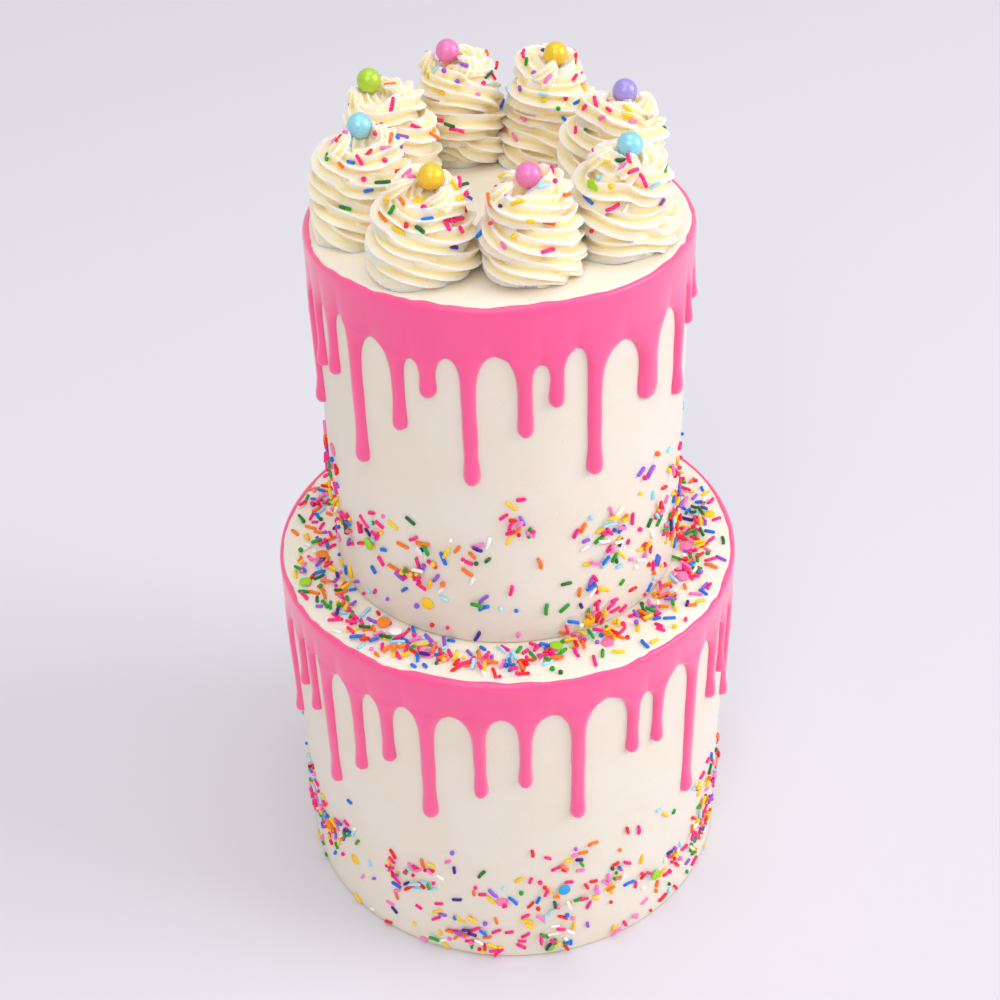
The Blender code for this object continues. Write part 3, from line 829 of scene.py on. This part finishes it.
ROPE_STEPS = 260
NOZZLE_POINTS = 128
GROOVE_DEPTH = 0.44
LIPS = (0.10, 0.08)
SWIRL_SPREAD = 1.04
SWIRL_FULLNESS = 2.9
SWIRL_SHOULDER = 0.78
CROWN_RING = 7.4 * MM
CROWN_DROP = 7.0 * MM
CROWN_THICK = 0.88
CROWN_LEAN = 0.3
TAIL_DROP = 7.5 * MM
COIL_PITCH = 9.2 * MM
FLAT_TURNS = 0.75
ROPE_LIFT = 4.4 * MM
PEARL_SIZE = 5.0 * MM
PEARL_ROOM = 0.06 * MM
FOOT_SINK = 0.3 * MM
FOOT_REACH = UPPER_RADIUS - 2.6 * MM
COIL_SHARE = 0.9
ROPE_TUCK = 0.84
ROPE_START = 0.5
ROPE_END = 0.7
TWIST = (0.8, 1.1)
CORE_FOOT = 0.72
CORE_TOP = 0.5
CORE_LEAN = 0.2

# How the rope wavers: how often in a turn, with a number that keeps each waver its own, and sizes
SPREAD_BEAT = (4.6, 1)
THICK_BEAT = (2.2, 2)
TURN_BEAT = (3.0, 3)
LEVEL_BEAT = (3.8, 4)
WAVER = 2.0 * MM
LEVEL_WAVER = 0.7
THICK_WAVER = 0.09
TURN_WAVER = 0.06

PETALS = 3
PETAL_STEPS = 26
PETAL_ROOT = 10.5 * MM
PETAL_TIP = 5.4 * MM
PETAL_THICK = 5.6 * MM
PETAL_POINT = 0.25 * MM
PETAL_TAPER = 0.75
PETAL_BOW = 1.8 * MM
PETAL_ARCH = 1.2 * MM
PETAL_CURL = 50
PETAL_DIP = 1.5 * MM
PETAL_TWIST = 0.25
PETAL_GAP_SPREAD = 0.22
PETAL_HEIGHTS = (-2.5, 1.0)


def nozzle_outline(ridges):
    """The outline that the nozzle gives the rope: narrow ridges between rounded grooves."""
    curve = bpy.data.curves.new("nozzle", "CURVE")
    curve.dimensions = "2D"
    spline = curve.splines.new("POLY")
    spline.points.add(NOZZLE_POINTS - 1)
    for index, point in enumerate(spline.points):
        angle = 2 * math.pi * index / NOZZLE_POINTS
        groove = abs(math.sin(ridges * angle / 2))
        lip = LIPS[0] * math.sin(angle) + LIPS[1] * math.sin(2 * angle + 1)
        reach = 1 + lip - GROOVE_DEPTH * groove
        point.co = (reach * math.cos(angle), reach * math.sin(angle), 0, 1)
    spline.use_cyclic_u = True
    return link("nozzle", curve)


def piped(nozzle, path):
    """Cream pushed through the nozzle along a path of places, thicknesses and turns, as a mesh."""
    curve = bpy.data.curves.new("rope", "CURVE")
    curve.dimensions = "3D"
    curve.bevel_mode = "OBJECT"
    curve.bevel_object = nozzle
    curve.use_fill_caps = True
    spline = curve.splines.new("POLY")
    spline.points.add(len(path) - 1)
    for point, (place, thick, turned) in zip(spline.points, path):
        point.co = (*place, 1)
        point.radius = thick
        point.tilt = 2 * math.pi * turned
    activate(link("rope", curve))
    bpy.ops.object.convert(target="MESH")
    return new_item()


class Swirl:
    """Sizes of one swirl, and the paths of the rope and the petals that are piped into it."""

    def __init__(self, number, settings):
        across, along, radius = SWIRLS[number - 1]
        self.dice = random.Random(number * 31 + 5)
        self.pearl = pearl_place(number)
        self.foot = Vector((across * MM, along * MM, CAKE_TOP))
        self.lean = Vector((self.pearl.x, self.pearl.y, CAKE_TOP)) - self.foot
        self.widest = radius * SWIRL_SPREAD * MM
        self.rope = settings.rope
        self.crown = self.pearl.z - CAKE_TOP - CROWN_DROP
        rise = self.crown - ROPE_LIFT
        self.turns = FLAT_TURNS + rise / COIL_PITCH + self.dice.uniform(0, 0.3)
        self.start = self.dice.uniform(0, 360)
        self.twist = self.dice.uniform(*TWIST)
        self.drift = self.dice.uniform(0, 50)

    def wobble(self, share, beats, row):
        """A smooth random value about zero that changes so many times a turn."""
        return noise.noise(Vector((share * self.turns * beats, self.drift, row * 7.0))) * 2

    def middle(self, level):
        """The swirl's middle at a level: it leans a little towards its pearl."""
        return self.foot + self.lean * CROWN_LEAN * (level / self.crown) ** 2

    def rope_point(self, share):
        """Place, thickness and turn of the rope at a share of its way from foot to crown."""
        coil = min(1.0, share / COIL_SHARE)
        flat = FLAT_TURNS / self.turns
        level = mix(ROPE_LIFT, self.crown, max(0.0, coil - flat) / (1 - flat))
        full = (1 - min(1.0, level / self.crown) ** SWIRL_FULLNESS) ** SWIRL_SHOULDER
        thick = self.rope * mix(1.0, CROWN_THICK, coil)
        thick *= 1 + self.wobble(share, *THICK_BEAT) * THICK_WAVER
        spread = mix(CROWN_RING, self.widest - thick * ROPE_TUCK, full)
        spread += self.wobble(share, *SPREAD_BEAT) * WAVER
        level += self.wobble(share, *LEVEL_BEAT) * WAVER * LEVEL_WAVER
        tail = max(0.0, share - COIL_SHARE) / (1 - COIL_SHARE)
        spread *= 1 - smooth(0.0, 0.9, tail)
        level -= TAIL_DROP * smooth(0.2, 1.0, tail)
        thick *= mix(ROPE_START, 1.0, smooth(0.0, 0.04, share)) * mix(1.0, ROPE_END, tail)
        place = self.middle(level) + polar(spread, self.start + 360 * self.turns * share, level)
        turned = self.twist * self.turns * share + self.wobble(share, *TURN_BEAT) * TURN_WAVER
        return place, thick, turned

    def petal_path(self, degrees, tall):
        """A short peak of cream that leans from the crown onto the pearl and ends in a point."""
        root = self.middle(self.crown) + polar(PETAL_ROOT, degrees, self.crown - PETAL_DIP)
        tip = self.pearl + polar(PETAL_TIP, degrees, 0) + Vector((0, 0, tall))
        path = []
        for step in range(PETAL_STEPS):
            share = step / (PETAL_STEPS - 1)
            place = root.lerp(tip, share)
            bow = math.sin(math.pi * share)
            place += polar(bow * PETAL_BOW, degrees + PETAL_CURL)
            place.z += bow * PETAL_ARCH
            thick = PETAL_THICK * (1 - share) ** PETAL_TAPER + PETAL_POINT
            path.append((place, thick, PETAL_TWIST * share))
        return path

    def core(self):
        """A plain cone that fills the hollow inside the coil."""
        tall = self.crown
        bpy.ops.mesh.primitive_cone_add(
            vertices=24, radius1=self.widest * CORE_FOOT, radius2=self.widest * CORE_TOP, depth=tall,
            location=self.foot + self.lean * CORE_LEAN + Vector((0, 0, tall / 2)),
        )
        return new_item()

    def press(self, item):
        """Presses the cream off its pearl, flat onto the cake and inside the glaze's edge."""
        room = PEARL_SIZE + PEARL_ROOM
        for point in item.data.vertices:
            apart = point.co - self.pearl
            if apart.length < room:
                point.co = self.pearl + apart.normalized() * room
            point.co.z = max(point.co.z, CAKE_TOP - FOOT_SINK)
            beyond = point.co.xy.length - FOOT_REACH
            if beyond > 0:
                point.co -= Vector((*point.co.xy, 0)).normalized() * beyond

    def model(self, nozzle, grain):
        """Rope, petals and core made one, then softened."""
        shares = [index / (ROPE_STEPS - 1) for index in range(ROPE_STEPS)]
        parts = [piped(nozzle, [self.rope_point(share) for share in shares])]
        first = self.dice.uniform(0, 360)
        for index in range(PETALS):
            uneven = self.dice.uniform(-PETAL_GAP_SPREAD, PETAL_GAP_SPREAD)
            degrees = first + 360 * (index + uneven) / PETALS
            tall = self.dice.uniform(*PETAL_HEIGHTS) * MM
            parts.append(piped(nozzle, self.petal_path(degrees, tall)))
        parts.append(self.core())
        activate(parts[0])
        for part in parts:
            part.select_set(True)
        bpy.ops.object.join()
        item = new_item()
        apply_modifier(item, "REMESH", mode="VOXEL", voxel_size=grain)
        apply_modifier(item, "SMOOTH", factor=0.5, iterations=2)
        self.press(item)
        item.data.shade_smooth()
        return item


# Pearls

PEARL_UNEVENNESS = 0.012
PEARL_BEAT = 240


def sugar_pearl(number):
    """A candy ball, very slightly out of round."""
    centre = pearl_place(number)
    bpy.ops.mesh.primitive_uv_sphere_add(
        segments=48, ring_count=28, radius=PEARL_SIZE, location=centre
    )
    item = activate(new_item())
    bpy.ops.object.transform_apply(location=True)
    for point in item.data.vertices:
        out = point.co - centre
        swell = noise.noise(out * PEARL_BEAT + Vector((number, 0, 0)))
        point.co += out * swell * PEARL_UNEVENNESS - out * PEARL_UNEVENNESS
    item.data.shade_smooth()
    return item


# Sprinkles

def rod_model():
    """A strand one unit long and one unit in radius, with blunt rounded ends."""
    bpy.ops.mesh.primitive_cylinder_add(
        vertices=7, radius=1.0, depth=0.8, rotation=(0, math.pi / 2, 0)
    )
    item = activate(new_item())
    bpy.ops.object.transform_apply(rotation=True)
    bpy.ops.object.mode_set(mode="EDIT")
    bpy.ops.mesh.select_all(action="SELECT")
    bpy.ops.mesh.bisect(plane_co=(0, 0, 0), plane_no=(1, 0, 0))
    bpy.ops.mesh.select_mode(type="FACE")
    bpy.ops.mesh.select_all(action="DESELECT")
    shape = bmesh.from_edit_mesh(item.data)
    for face in shape.faces:
        face.select = abs(face.normal.x) > 0.9
    bmesh.update_edit_mesh(item.data)
    bpy.ops.mesh.inset(thickness=0.42, depth=0.1)
    bpy.ops.object.mode_set(mode="OBJECT")
    return take_model(item)


def bead_model():
    bpy.ops.mesh.primitive_uv_sphere_add(segments=8, ring_count=6, radius=1.0)
    return take_model(new_item())


def disc_model():
    """A flat round one unit in radius, with a soft edge."""
    bpy.ops.mesh.primitive_cylinder_add(vertices=14, radius=1.0, depth=0.4)
    item = activate(new_item())
    bpy.ops.object.mode_set(mode="EDIT")
    bpy.ops.mesh.select_all(action="SELECT")
    bpy.ops.mesh.bevel(offset=0.1, segments=1)
    bpy.ops.object.mode_set(mode="OBJECT")
    return take_model(item)


def take_model(item):
    """The points and faces of a model, which is then removed."""
    points = np.array([point.co for point in item.data.vertices])
    faces = [tuple(face.vertices) for face in item.data.polygons]
    bpy.data.objects.remove(item, do_unlink=True)
    return points, faces


KINDS = (("rods", 80), ("beads", 15), ("discs", 4))
LAYER = 1.2 * MM
NEAR = 9 * MM
MOST_LOOSE = 0.9 * MM
TOUCH = 0.92
TIP_SPREAD = 0.2
SPIN_SPREAD = 0.5
BOW_SPREAD = 0.45
ROUND_END = 0.6
SPRINKLE_SEED = 2024
LIFTS = {"rods": 0.62, "beads": 0.55, "discs": 0.1}
FLATNESS = {"beads": 1.0, "discs": 0.62}

# Lowest and highest sprinkle on each side, innermost and outermost on the ledge, and the middle
# and spread of the clumps at the back, in millimetres
LOWER_SIDE = (2.2 * MM, 74 * MM)
UPPER_SIDE = (2.4 * MM, 78 * MM)
LEDGE_INNER = UPPER_RADIUS + 1.6 * MM
LEDGE_OUTER = LOWER_RADIUS - 3.4 * MM
LOWER_BACK = (32, 20)
UPPER_BACK = (34, 20)
LEDGE_BACK = (88, 4)

# On a swirl: gaps to the cake's top, above the pearl's middle, to the pearl and to each other,
# how far from the cake's axis they end, where each is aimed from, and how they are seated
SWIRL_LOWEST = 3 * MM
SWIRL_HIGHEST = 2 * MM
PEARL_CLEAR = 2 * MM
SWIRL_APART = 3.4 * MM
SWIRL_OUTERMOST = 73 * MM
AIM_AWAY = 30 * MM
AIM_ABOVE = 9 * MM
END_SHARE = 0.42
SWIRL_SINK = -0.2

# How far a clump scatters along and across, as a share of its spread, and how strays thin out
SIDE_SCATTER = (0.82, 0.82)
LEDGE_SCATTER = (0.9, 0.6)
SIDE_THINNING = 2.0
LEDGE_THINNING = 1.15
SWIRL_THINNING = 0.65


class Scatter:
    """Sprinkles of each kind, gathered as points and faces, then joined into one mesh a kind."""

    def __init__(self, settings, dice):
        self.settings = settings
        self.dice = dice
        self.models = {"rods": rod_model(), "beads": bead_model(), "discs": disc_model()}
        self.gathered = {kind: [] for kind in self.models}
        self.spots = []

    def pick_kind(self):
        return self.dice.choices(*zip(*KINDS))[0]

    def pick_tint(self, kind):
        palette = DISC_COLOURS if kind == "discs" else SPRINKLE_COLOURS
        tint = self.dice.choices([row[0] for row in palette], [row[1] for row in palette])[0]
        lift = self.dice.uniform(0.94, 1.12)
        return tuple(min(1.0, part * lift) for part in tint)

    def new_surface(self):
        """Starts a new flattened surface, on which sprinkles are kept from lying in each other."""
        self.spots = []

    def layer_for(self, ends, width, most):
        """The layer on which a sprinkle with these flat ends lies, or None where it is too deep."""
        layer = 0
        middle = (ends[0] + ends[1]) / 2
        for other_ends, other_width, other_layer in self.spots:
            if (middle - (other_ends[0] + other_ends[1]) / 2).length > NEAR:
                continue
            if apart(ends, other_ends) < (width + other_width) * TOUCH:
                layer = max(layer, other_layer + 1)
        return layer if layer <= most else None

    def try_place(self, flat, most, seat, fits):
        """Lays a sprinkle at a flat place, on the lowest free layer, if both its ends fit there."""
        kind = self.pick_kind()
        span, width = self.measure(kind)
        slant = self.dice.uniform(0, math.pi)
        half = Vector((math.cos(slant), math.sin(slant))) * max(0.0, span / 2 - width)
        ends = (flat - half, flat + half)
        if not all(fits(end, width) for end in ends):
            return False
        layer = self.layer_for(ends, width, most)
        if layer is None:
            return False
        self.spots.append((ends, width, layer))
        rise = layer * LAYER
        tip = self.dice.uniform(-TIP_SPREAD, TIP_SPREAD) * layer
        self.add(kind, span, width, seat(slant), rise, tip)
        return True

    def measure(self, kind):
        """Length and half width of one sprinkle."""
        settings = self.settings
        size = self.dice.uniform(0.92, 1.06)
        if kind == "rods":
            low, high = settings.shortest, settings.longest
            return self.dice.triangular(low, high, mix(low, high, 0.55)), settings.rod * size
        if kind == "beads":
            radius = settings.bead * self.dice.uniform(0.8, 1.15)
            return 2 * radius, radius
        return 2 * settings.disc * size, settings.disc * size

    def add(self, kind, span, width, frame_at, rise, tip):
        """Adds one sprinkle in a frame whose X runs along it and whose Z points out."""
        points, faces = self.models[kind]
        if kind == "rods":
            points = self.shaped_rod(points, span, width)
        else:
            points = points * (width, width, width * FLATNESS[kind])
        lift = width * LIFTS[kind]
        turn = frame_at @ Matrix.Translation((0, 0, lift + rise)) @ Matrix.Rotation(tip, 4, "Y")
        spin = self.dice.uniform(-SPIN_SPREAD, SPIN_SPREAD) if kind == "rods" else 0.0
        turn = turn @ Matrix.Rotation(spin, 4, "X")
        table = np.array(turn)
        moved = points @ table[:3, :3].T + table[:3, 3]
        self.gathered[kind].append((moved, faces, self.pick_tint(kind)))

    def shaped_rod(self, points, span, width):
        """The strand at its size: its ends keep their roundness, and it bows a little sideways."""
        bow = self.dice.uniform(-BOW_SPREAD, BOW_SPREAD) * width * (span / (5 * MM)) ** 2
        half = span / 2
        end = width * ROUND_END
        places = (-half, end - half, 0, half - end, half)
        along = np.interp(points[:, 0], (-0.5, -0.4, 0, 0.4, 0.5), places)
        bowed = points[:, 1] * width + bow * (1 - (along / half) ** 2)
        return np.stack((along, bowed, points[:, 2] * width), axis=1)

    def pieces(self):
        """One joined mesh object for each kind, with each sprinkle's colour as an attribute."""
        made = {}
        for kind, rows in self.gathered.items():
            points = np.concatenate([row[0] for row in rows])
            faces = []
            tints = []
            start = 0
            for moved, own_faces, tint in rows:
                faces += [tuple(start + corner for corner in face) for face in own_faces]
                tints += [(*tint, 1.0)] * len(moved)
                start += len(moved)
            mesh = bpy.data.meshes.new(kind)
            mesh.from_pydata(points.tolist(), [], faces)
            attribute = mesh.color_attributes.new("tint", "FLOAT_COLOR", "POINT")
            attribute.data.foreach_set("color", np.array(tints, np.float32).ravel())
            mesh.shade_smooth()
            made[kind] = link(kind, mesh)
        return made


def apart(first, second):
    """Shortest distance between two flat line pieces, taken at five points of each."""
    best = 1.0
    for one, other in ((first, second), (second, first)):
        run = other[1] - other[0]
        size = max(run.length_squared, 1e-12)
        for step in range(5):
            spot = one[0].lerp(one[1], step / 4)
            share = min(1.0, max(0.0, (spot - other[0]).dot(run) / size))
            best = min(best, (other[0] + run * share - spot).length)
    return best


def seat_frame(point, normal, along):
    """A frame with X along a sprinkle and Z out of the surface."""
    out = normal.normalized()
    run = (along - out * along.dot(out)).normalized()
    turned = Matrix((run, out.cross(run), out)).transposed().to_4x4()
    turned.translation = point
    return turned


def back_clumps(front_clumps, centre, reach, dice):
    """Clumps round the hidden back, of the same kind as the front's."""
    clumps = []
    degrees = front_clumps[-1][0] + BACK_CLUMP_STEP
    last = front_clumps[0][0] + 360
    while degrees < last - BACK_CLUMP_STEP / 2:
        place = centre + dice.uniform(-reach, reach)
        spread = dice.uniform(*BACK_CLUMP_SPREAD)
        clumps.append((degrees, place, spread, dice.randint(*BACK_CLUMP_COUNT)))
        degrees += BACK_CLUMP_STEP * dice.uniform(*BACK_STEP_SPREAD)
    return clumps


def lay_clumps(dice, clumps, tries, shares, radius, lay):
    """Lays each clump's sprinkles about its middle, trying a few places for each."""
    for degrees, middle, spread, count in clumps:
        for _ in range(count * tries):
            along = dice.gauss(0, spread * shares[0]) * MM / radius
            across = dice.gauss(0, spread * shares[1])
            if lay(degrees + math.degrees(along), (middle + across) * MM, 1):
                count -= 1
            if count <= 0:
                break


def scatter_on_side(scatter, radius, base, lowest, highest, clumps, strays):
    """Sprinkles pressed onto a tier's wall, in clumps and as strays that thin out upwards."""
    dice = scatter.dice
    scatter.new_surface()

    def lay(degrees, height, most):
        if not lowest < height < highest:
            return False

        def seat(slant):
            along = polar(math.cos(slant), degrees + 90, math.sin(slant))
            return seat_frame(polar(radius, degrees, base + height), polar(1, degrees), along)

        def fits(end, width):
            return end.y - width > 0.2 * MM

        return scatter.try_place(Vector((math.radians(degrees) * radius, height)), most, seat, fits)

    lay_clumps(dice, clumps, 3, SIDE_SCATTER, radius, lay)
    laid = 0
    while laid < strays:
        height = lowest + (highest - lowest) * dice.random() ** SIDE_THINNING
        laid += lay(dice.uniform(-180, 180), height, 0)


def scatter_on_ledge(scatter, clumps, strays):
    """Sprinkles lying on the ledge, thickest by the upper tier's foot."""
    dice = scatter.dice
    scatter.new_surface()

    def lay(degrees, distance, most):
        if not LEDGE_INNER < distance < LEDGE_OUTER:
            return False

        def seat(slant):
            point = polar(distance, degrees, LEDGE)
            return seat_frame(point, Vector((0, 0, 1)), Vector((math.cos(slant), math.sin(slant), 0)))

        def fits(end, width):
            return UPPER_RADIUS + 0.6 * width < end.length < LOWER_RADIUS - width

        return scatter.try_place(polar(distance, degrees).xy, most, seat, fits)

    lay_clumps(dice, clumps, 4, LEDGE_SCATTER, UPPER_RADIUS, lay)
    laid = 0
    while laid < strays:
        degrees = dice.uniform(-180, 180)
        share = dice.random() ** LEDGE_THINNING
        laid += lay(degrees, mix(LEDGE_INNER, LEDGE_OUTER, share), 0)


def scatter_on_swirl(scatter, swirl, number, count):
    """Sprinkles stuck to one swirl, more of them on its upper half."""
    dice = scatter.dice
    tree = BVHTree.FromObject(swirl, bpy.context.evaluated_depsgraph_get())
    pearl = pearl_place(number)
    taken = []
    while len(taken) < count:
        degrees = dice.uniform(0, 360)
        share = dice.random() ** SWIRL_THINNING
        height = mix(CAKE_TOP + SWIRL_LOWEST, pearl.z + SWIRL_HIGHEST, share)
        start = Vector((pearl.x, pearl.y, height + AIM_ABOVE)) + polar(AIM_AWAY, degrees)
        aim = Vector((pearl.x, pearl.y, height)) - start
        point, normal, _, _ = tree.ray_cast(start, aim.normalized())
        if point is None or point.xy.length > SWIRL_OUTERMOST:
            continue
        if (point - pearl).length < PEARL_SIZE + PEARL_CLEAR:
            continue
        if any((point - other).length < SWIRL_APART for other in taken):
            continue
        kind = scatter.pick_kind()
        span, width = scatter.measure(kind)
        along = Vector([dice.uniform(-1, 1) for _ in range(3)])
        seat = seat_frame(point, normal, along)
        reach = span * END_SHARE
        across = reach if kind == "discs" else 0.0
        ends = ((reach, 0, 0), (-reach, 0, 0), (0, across, 0), (0, -across, 0))
        loose = MOST_LOOSE / 2 if kind == "discs" else MOST_LOOSE
        if any(tree.find_nearest(seat @ Vector(end))[3] > loose for end in ends):
            continue
        taken.append(point)
        scatter.add(kind, span, width, seat, SWIRL_SINK * width, 0.0)


# Operators

class MESH_OT_cake_tiers(bpy.types.Operator):
    """Build the two buttercream tiers"""

    bl_idname = "mesh.cake_tiers"
    bl_label = "Tiers"

    def execute(self, context):
        settings = context.scene.cake_cream
        tiers = (("lower", LOWER_RADIUS, 0.0, LEDGE), ("upper", UPPER_RADIUS, LEDGE, CAKE_TOP))
        for name, radius, base, top in tiers:
            material = spread_cream_material(f"{name}_buttercream", settings.cream, base, top)
            item = spread_tier(radius, base, top - base, settings)
            finish_piece(item, f"{name}_cream", material, "buttercream", f"{name}_tier")
        return {"FINISHED"}


class MESH_OT_cake_glazes(bpy.types.Operator):
    """Pour the pink glaze over both rims"""

    bl_idname = "mesh.cake_glazes"
    bl_label = "Glazes"

    def execute(self, context):
        settings = context.scene.cake_glaze
        material = glaze_material(settings.pink)
        rims = (
            ("lower", LOWER_RADIUS, LEDGE, LOWER_FRONT_RUNS, LOWER_BACK_RUNS, LOWER_GLAZE_SEED),
            ("upper", UPPER_RADIUS, CAKE_TOP, UPPER_FRONT_RUNS, UPPER_BACK_RUNS, UPPER_GLAZE_SEED),
        )
        for name, *rim in rims:
            item = glaze(*rim, settings)
            finish_piece(item, f"{name}_drip", material, "pink_glaze", f"{name}_glaze")
        return {"FINISHED"}


class MESH_OT_cake_swirls(bpy.types.Operator):
    """Pipe the ring of buttercream swirls"""

    bl_idname = "mesh.cake_swirls"
    bl_label = "Swirls"

    def execute(self, context):
        settings = context.scene.cake_swirls
        material = piped_cream_material(settings.cream)
        nozzle = nozzle_outline(settings.ridges)
        for number in range(1, len(SWIRLS) + 1):
            item = Swirl(number, settings).model(nozzle, settings.grain)
            finish_piece(item, f"piped_swirl_{number}", material, "piped_cream", f"swirl_{number}")
        bpy.data.objects.remove(nozzle, do_unlink=True)
        return {"FINISHED"}


class MESH_OT_cake_pearls(bpy.types.Operator):
    """Set a candy pearl on each swirl"""

    bl_idname = "mesh.cake_pearls"
    bl_label = "Pearls"

    def execute(self, context):
        materials = {slot: pearl_material(slot, base) for slot, base in PEARL_COLOURS.items()}
        for number, slot in enumerate(PEARLS, start=1):
            item = sugar_pearl(number)
            finish_piece(item, f"candy_pearl_{number}", materials[slot], slot, f"pearl_{number}")
        return {"FINISHED"}


class MESH_OT_cake_sprinkles(bpy.types.Operator):
    """Scatter the sprinkles over both sides, the ledge and the swirls"""

    bl_idname = "mesh.cake_sprinkles"
    bl_label = "Sprinkles"

    def execute(self, context):
        settings = context.scene.cake_sprinkles
        dice = random.Random(SPRINKLE_SEED)
        scatter = Scatter(settings, dice)
        sides = (
            (LOWER_RADIUS, 0.0, LOWER_SIDE, LOWER_SIDE_CLUMPS, LOWER_BACK),
            (UPPER_RADIUS, LEDGE, UPPER_SIDE, UPPER_SIDE_CLUMPS, UPPER_BACK),
        )
        for radius, base, span, front, back in sides:
            clumps = (*front, *back_clumps(front, *back, dice))
            scatter_on_side(scatter, radius, base, *span, clumps, settings.side_strays)
        clumps = (*LEDGE_CLUMPS, *back_clumps(LEDGE_CLUMPS, *LEDGE_BACK, dice))
        scatter_on_ledge(scatter, clumps, settings.ledge_strays)
        for number in range(1, len(SWIRLS) + 1):
            swirl = bpy.data.objects[f"piped_swirl_{number}"]
            scatter_on_swirl(scatter, swirl, number, settings.on_swirl)
        material = sprinkle_material()
        for kind, item in scatter.pieces().items():
            finish_piece(item, f"sprinkle_{kind}", material, "buttercream")
        return {"FINISHED"}


# Camera: its place, what it looks at, its roll in degrees, and its lens and sensor in millimetres
CAMERA_PLACE = (0.0, -576.2 * MM, 619.6 * MM)
CAMERA_AIM = (-2.8 * MM, 0.0, 194.8 * MM)
CAMERA_ROLL = -1.63
CAMERA_LENS = 56.25
CAMERA_SENSOR = 36.0

FLOOR_WIDTH = 12.0
SKY_TONE = (1.0, 0.985, 1.0, 1.0)

# Lights: place and width in metres, and tone
LIGHTS = {
    "key": ((3.9, -0.6, 2.2), 2.4, (0.98, 1.0, 1.06)),
    "top": ((0.2, -0.2, 4.2), 2.5, (1.0, 1.0, 1.0)),
    "fill": ((-0.6, -2.9, 2.8), 1.8, (1.0, 1.0, 1.0)),
}


def area_light(name, place, size, power, tone):
    """A soft square light that shines at the middle of the cake."""
    bpy.ops.object.light_add(type="AREA", location=place)
    item = new_item()
    item.name = name
    item.data.size = size
    item.data.energy = power
    item.data.color = tone
    aim = Vector((0, 0, LEDGE)) - Vector(place)
    item.rotation_euler = aim.to_track_quat("-Z", "Y").to_euler()


class SCENE_OT_cake_stage(bpy.types.Operator):
    """Set the floor, the soft light and the camera"""

    bl_idname = "scene.cake_stage"
    bl_label = "Stage"

    def execute(self, context):
        scene = context.scene
        settings = scene.cake_stage
        bpy.ops.mesh.primitive_plane_add(size=FLOOR_WIDTH)
        floor = new_item()
        floor.name = "floor"
        floor.data.materials.append(floor_material(settings.floor))
        for name, (place, size, tone) in LIGHTS.items():
            area_light(f"{name}_light", place, size, getattr(settings, name), tone)
        world = bpy.data.worlds.new("even_light")
        world.use_nodes = True
        background = world.node_tree.nodes["Background"]
        background.inputs["Color"].default_value = SKY_TONE
        background.inputs["Strength"].default_value = settings.sky
        scene.world = world
        scene.view_settings.view_transform = "Standard"
        self.place_camera(scene)
        return {"FINISHED"}

    def place_camera(self, scene):
        bpy.ops.object.camera_add(location=CAMERA_PLACE)
        camera = new_item()
        camera.name = "camera"
        aim = (Vector(CAMERA_AIM) - Vector(CAMERA_PLACE)).to_track_quat("-Z", "Y")
        roll = Matrix.Rotation(math.radians(CAMERA_ROLL), 4, "Z")
        camera.matrix_world = Matrix.Translation(CAMERA_PLACE) @ aim.to_matrix().to_4x4() @ roll
        camera.data.sensor_width = CAMERA_SENSOR
        camera.data.lens = CAMERA_LENS
        scene.camera = camera


class VIEW3D_PT_cake(bpy.types.Panel):
    """Lists the steps that build the cake"""

    bl_idname = "VIEW3D_PT_cake"
    bl_label = "Drip Cake"
    bl_space_type = "VIEW_3D"
    bl_region_type = "UI"
    bl_category = "Cake"

    def draw(self, context):
        for operator in OPERATORS:
            self.layout.operator(operator.bl_idname)
        for name, group in SETTINGS.items():
            box = self.layout.box()
            box.label(text=group.__doc__)
            for key in group.__annotations__:
                box.prop(getattr(context.scene, name), key)


OPERATORS = (
    MESH_OT_cake_tiers, MESH_OT_cake_glazes, MESH_OT_cake_swirls, MESH_OT_cake_pearls,
    MESH_OT_cake_sprinkles, SCENE_OT_cake_stage,
)


def register():
    for part in (*SETTINGS.values(), *OPERATORS, VIEW3D_PT_cake):
        bpy.utils.register_class(part)
    for name, group in SETTINGS.items():
        setattr(bpy.types.Scene, name, PointerProperty(type=group))


def unregister():
    for name in SETTINGS:
        delattr(bpy.types.Scene, name)
    for part in (VIEW3D_PT_cake, *reversed(OPERATORS), *SETTINGS.values()):
        bpy.utils.unregister_class(part)


def main():
    register()
    bpy.ops.mesh.cake_tiers()
    bpy.ops.mesh.cake_glazes()
    bpy.ops.mesh.cake_swirls()
    bpy.ops.mesh.cake_pearls()
    bpy.ops.mesh.cake_sprinkles()
    bpy.ops.scene.cake_stage()


if __name__ == "__main__":
    main()
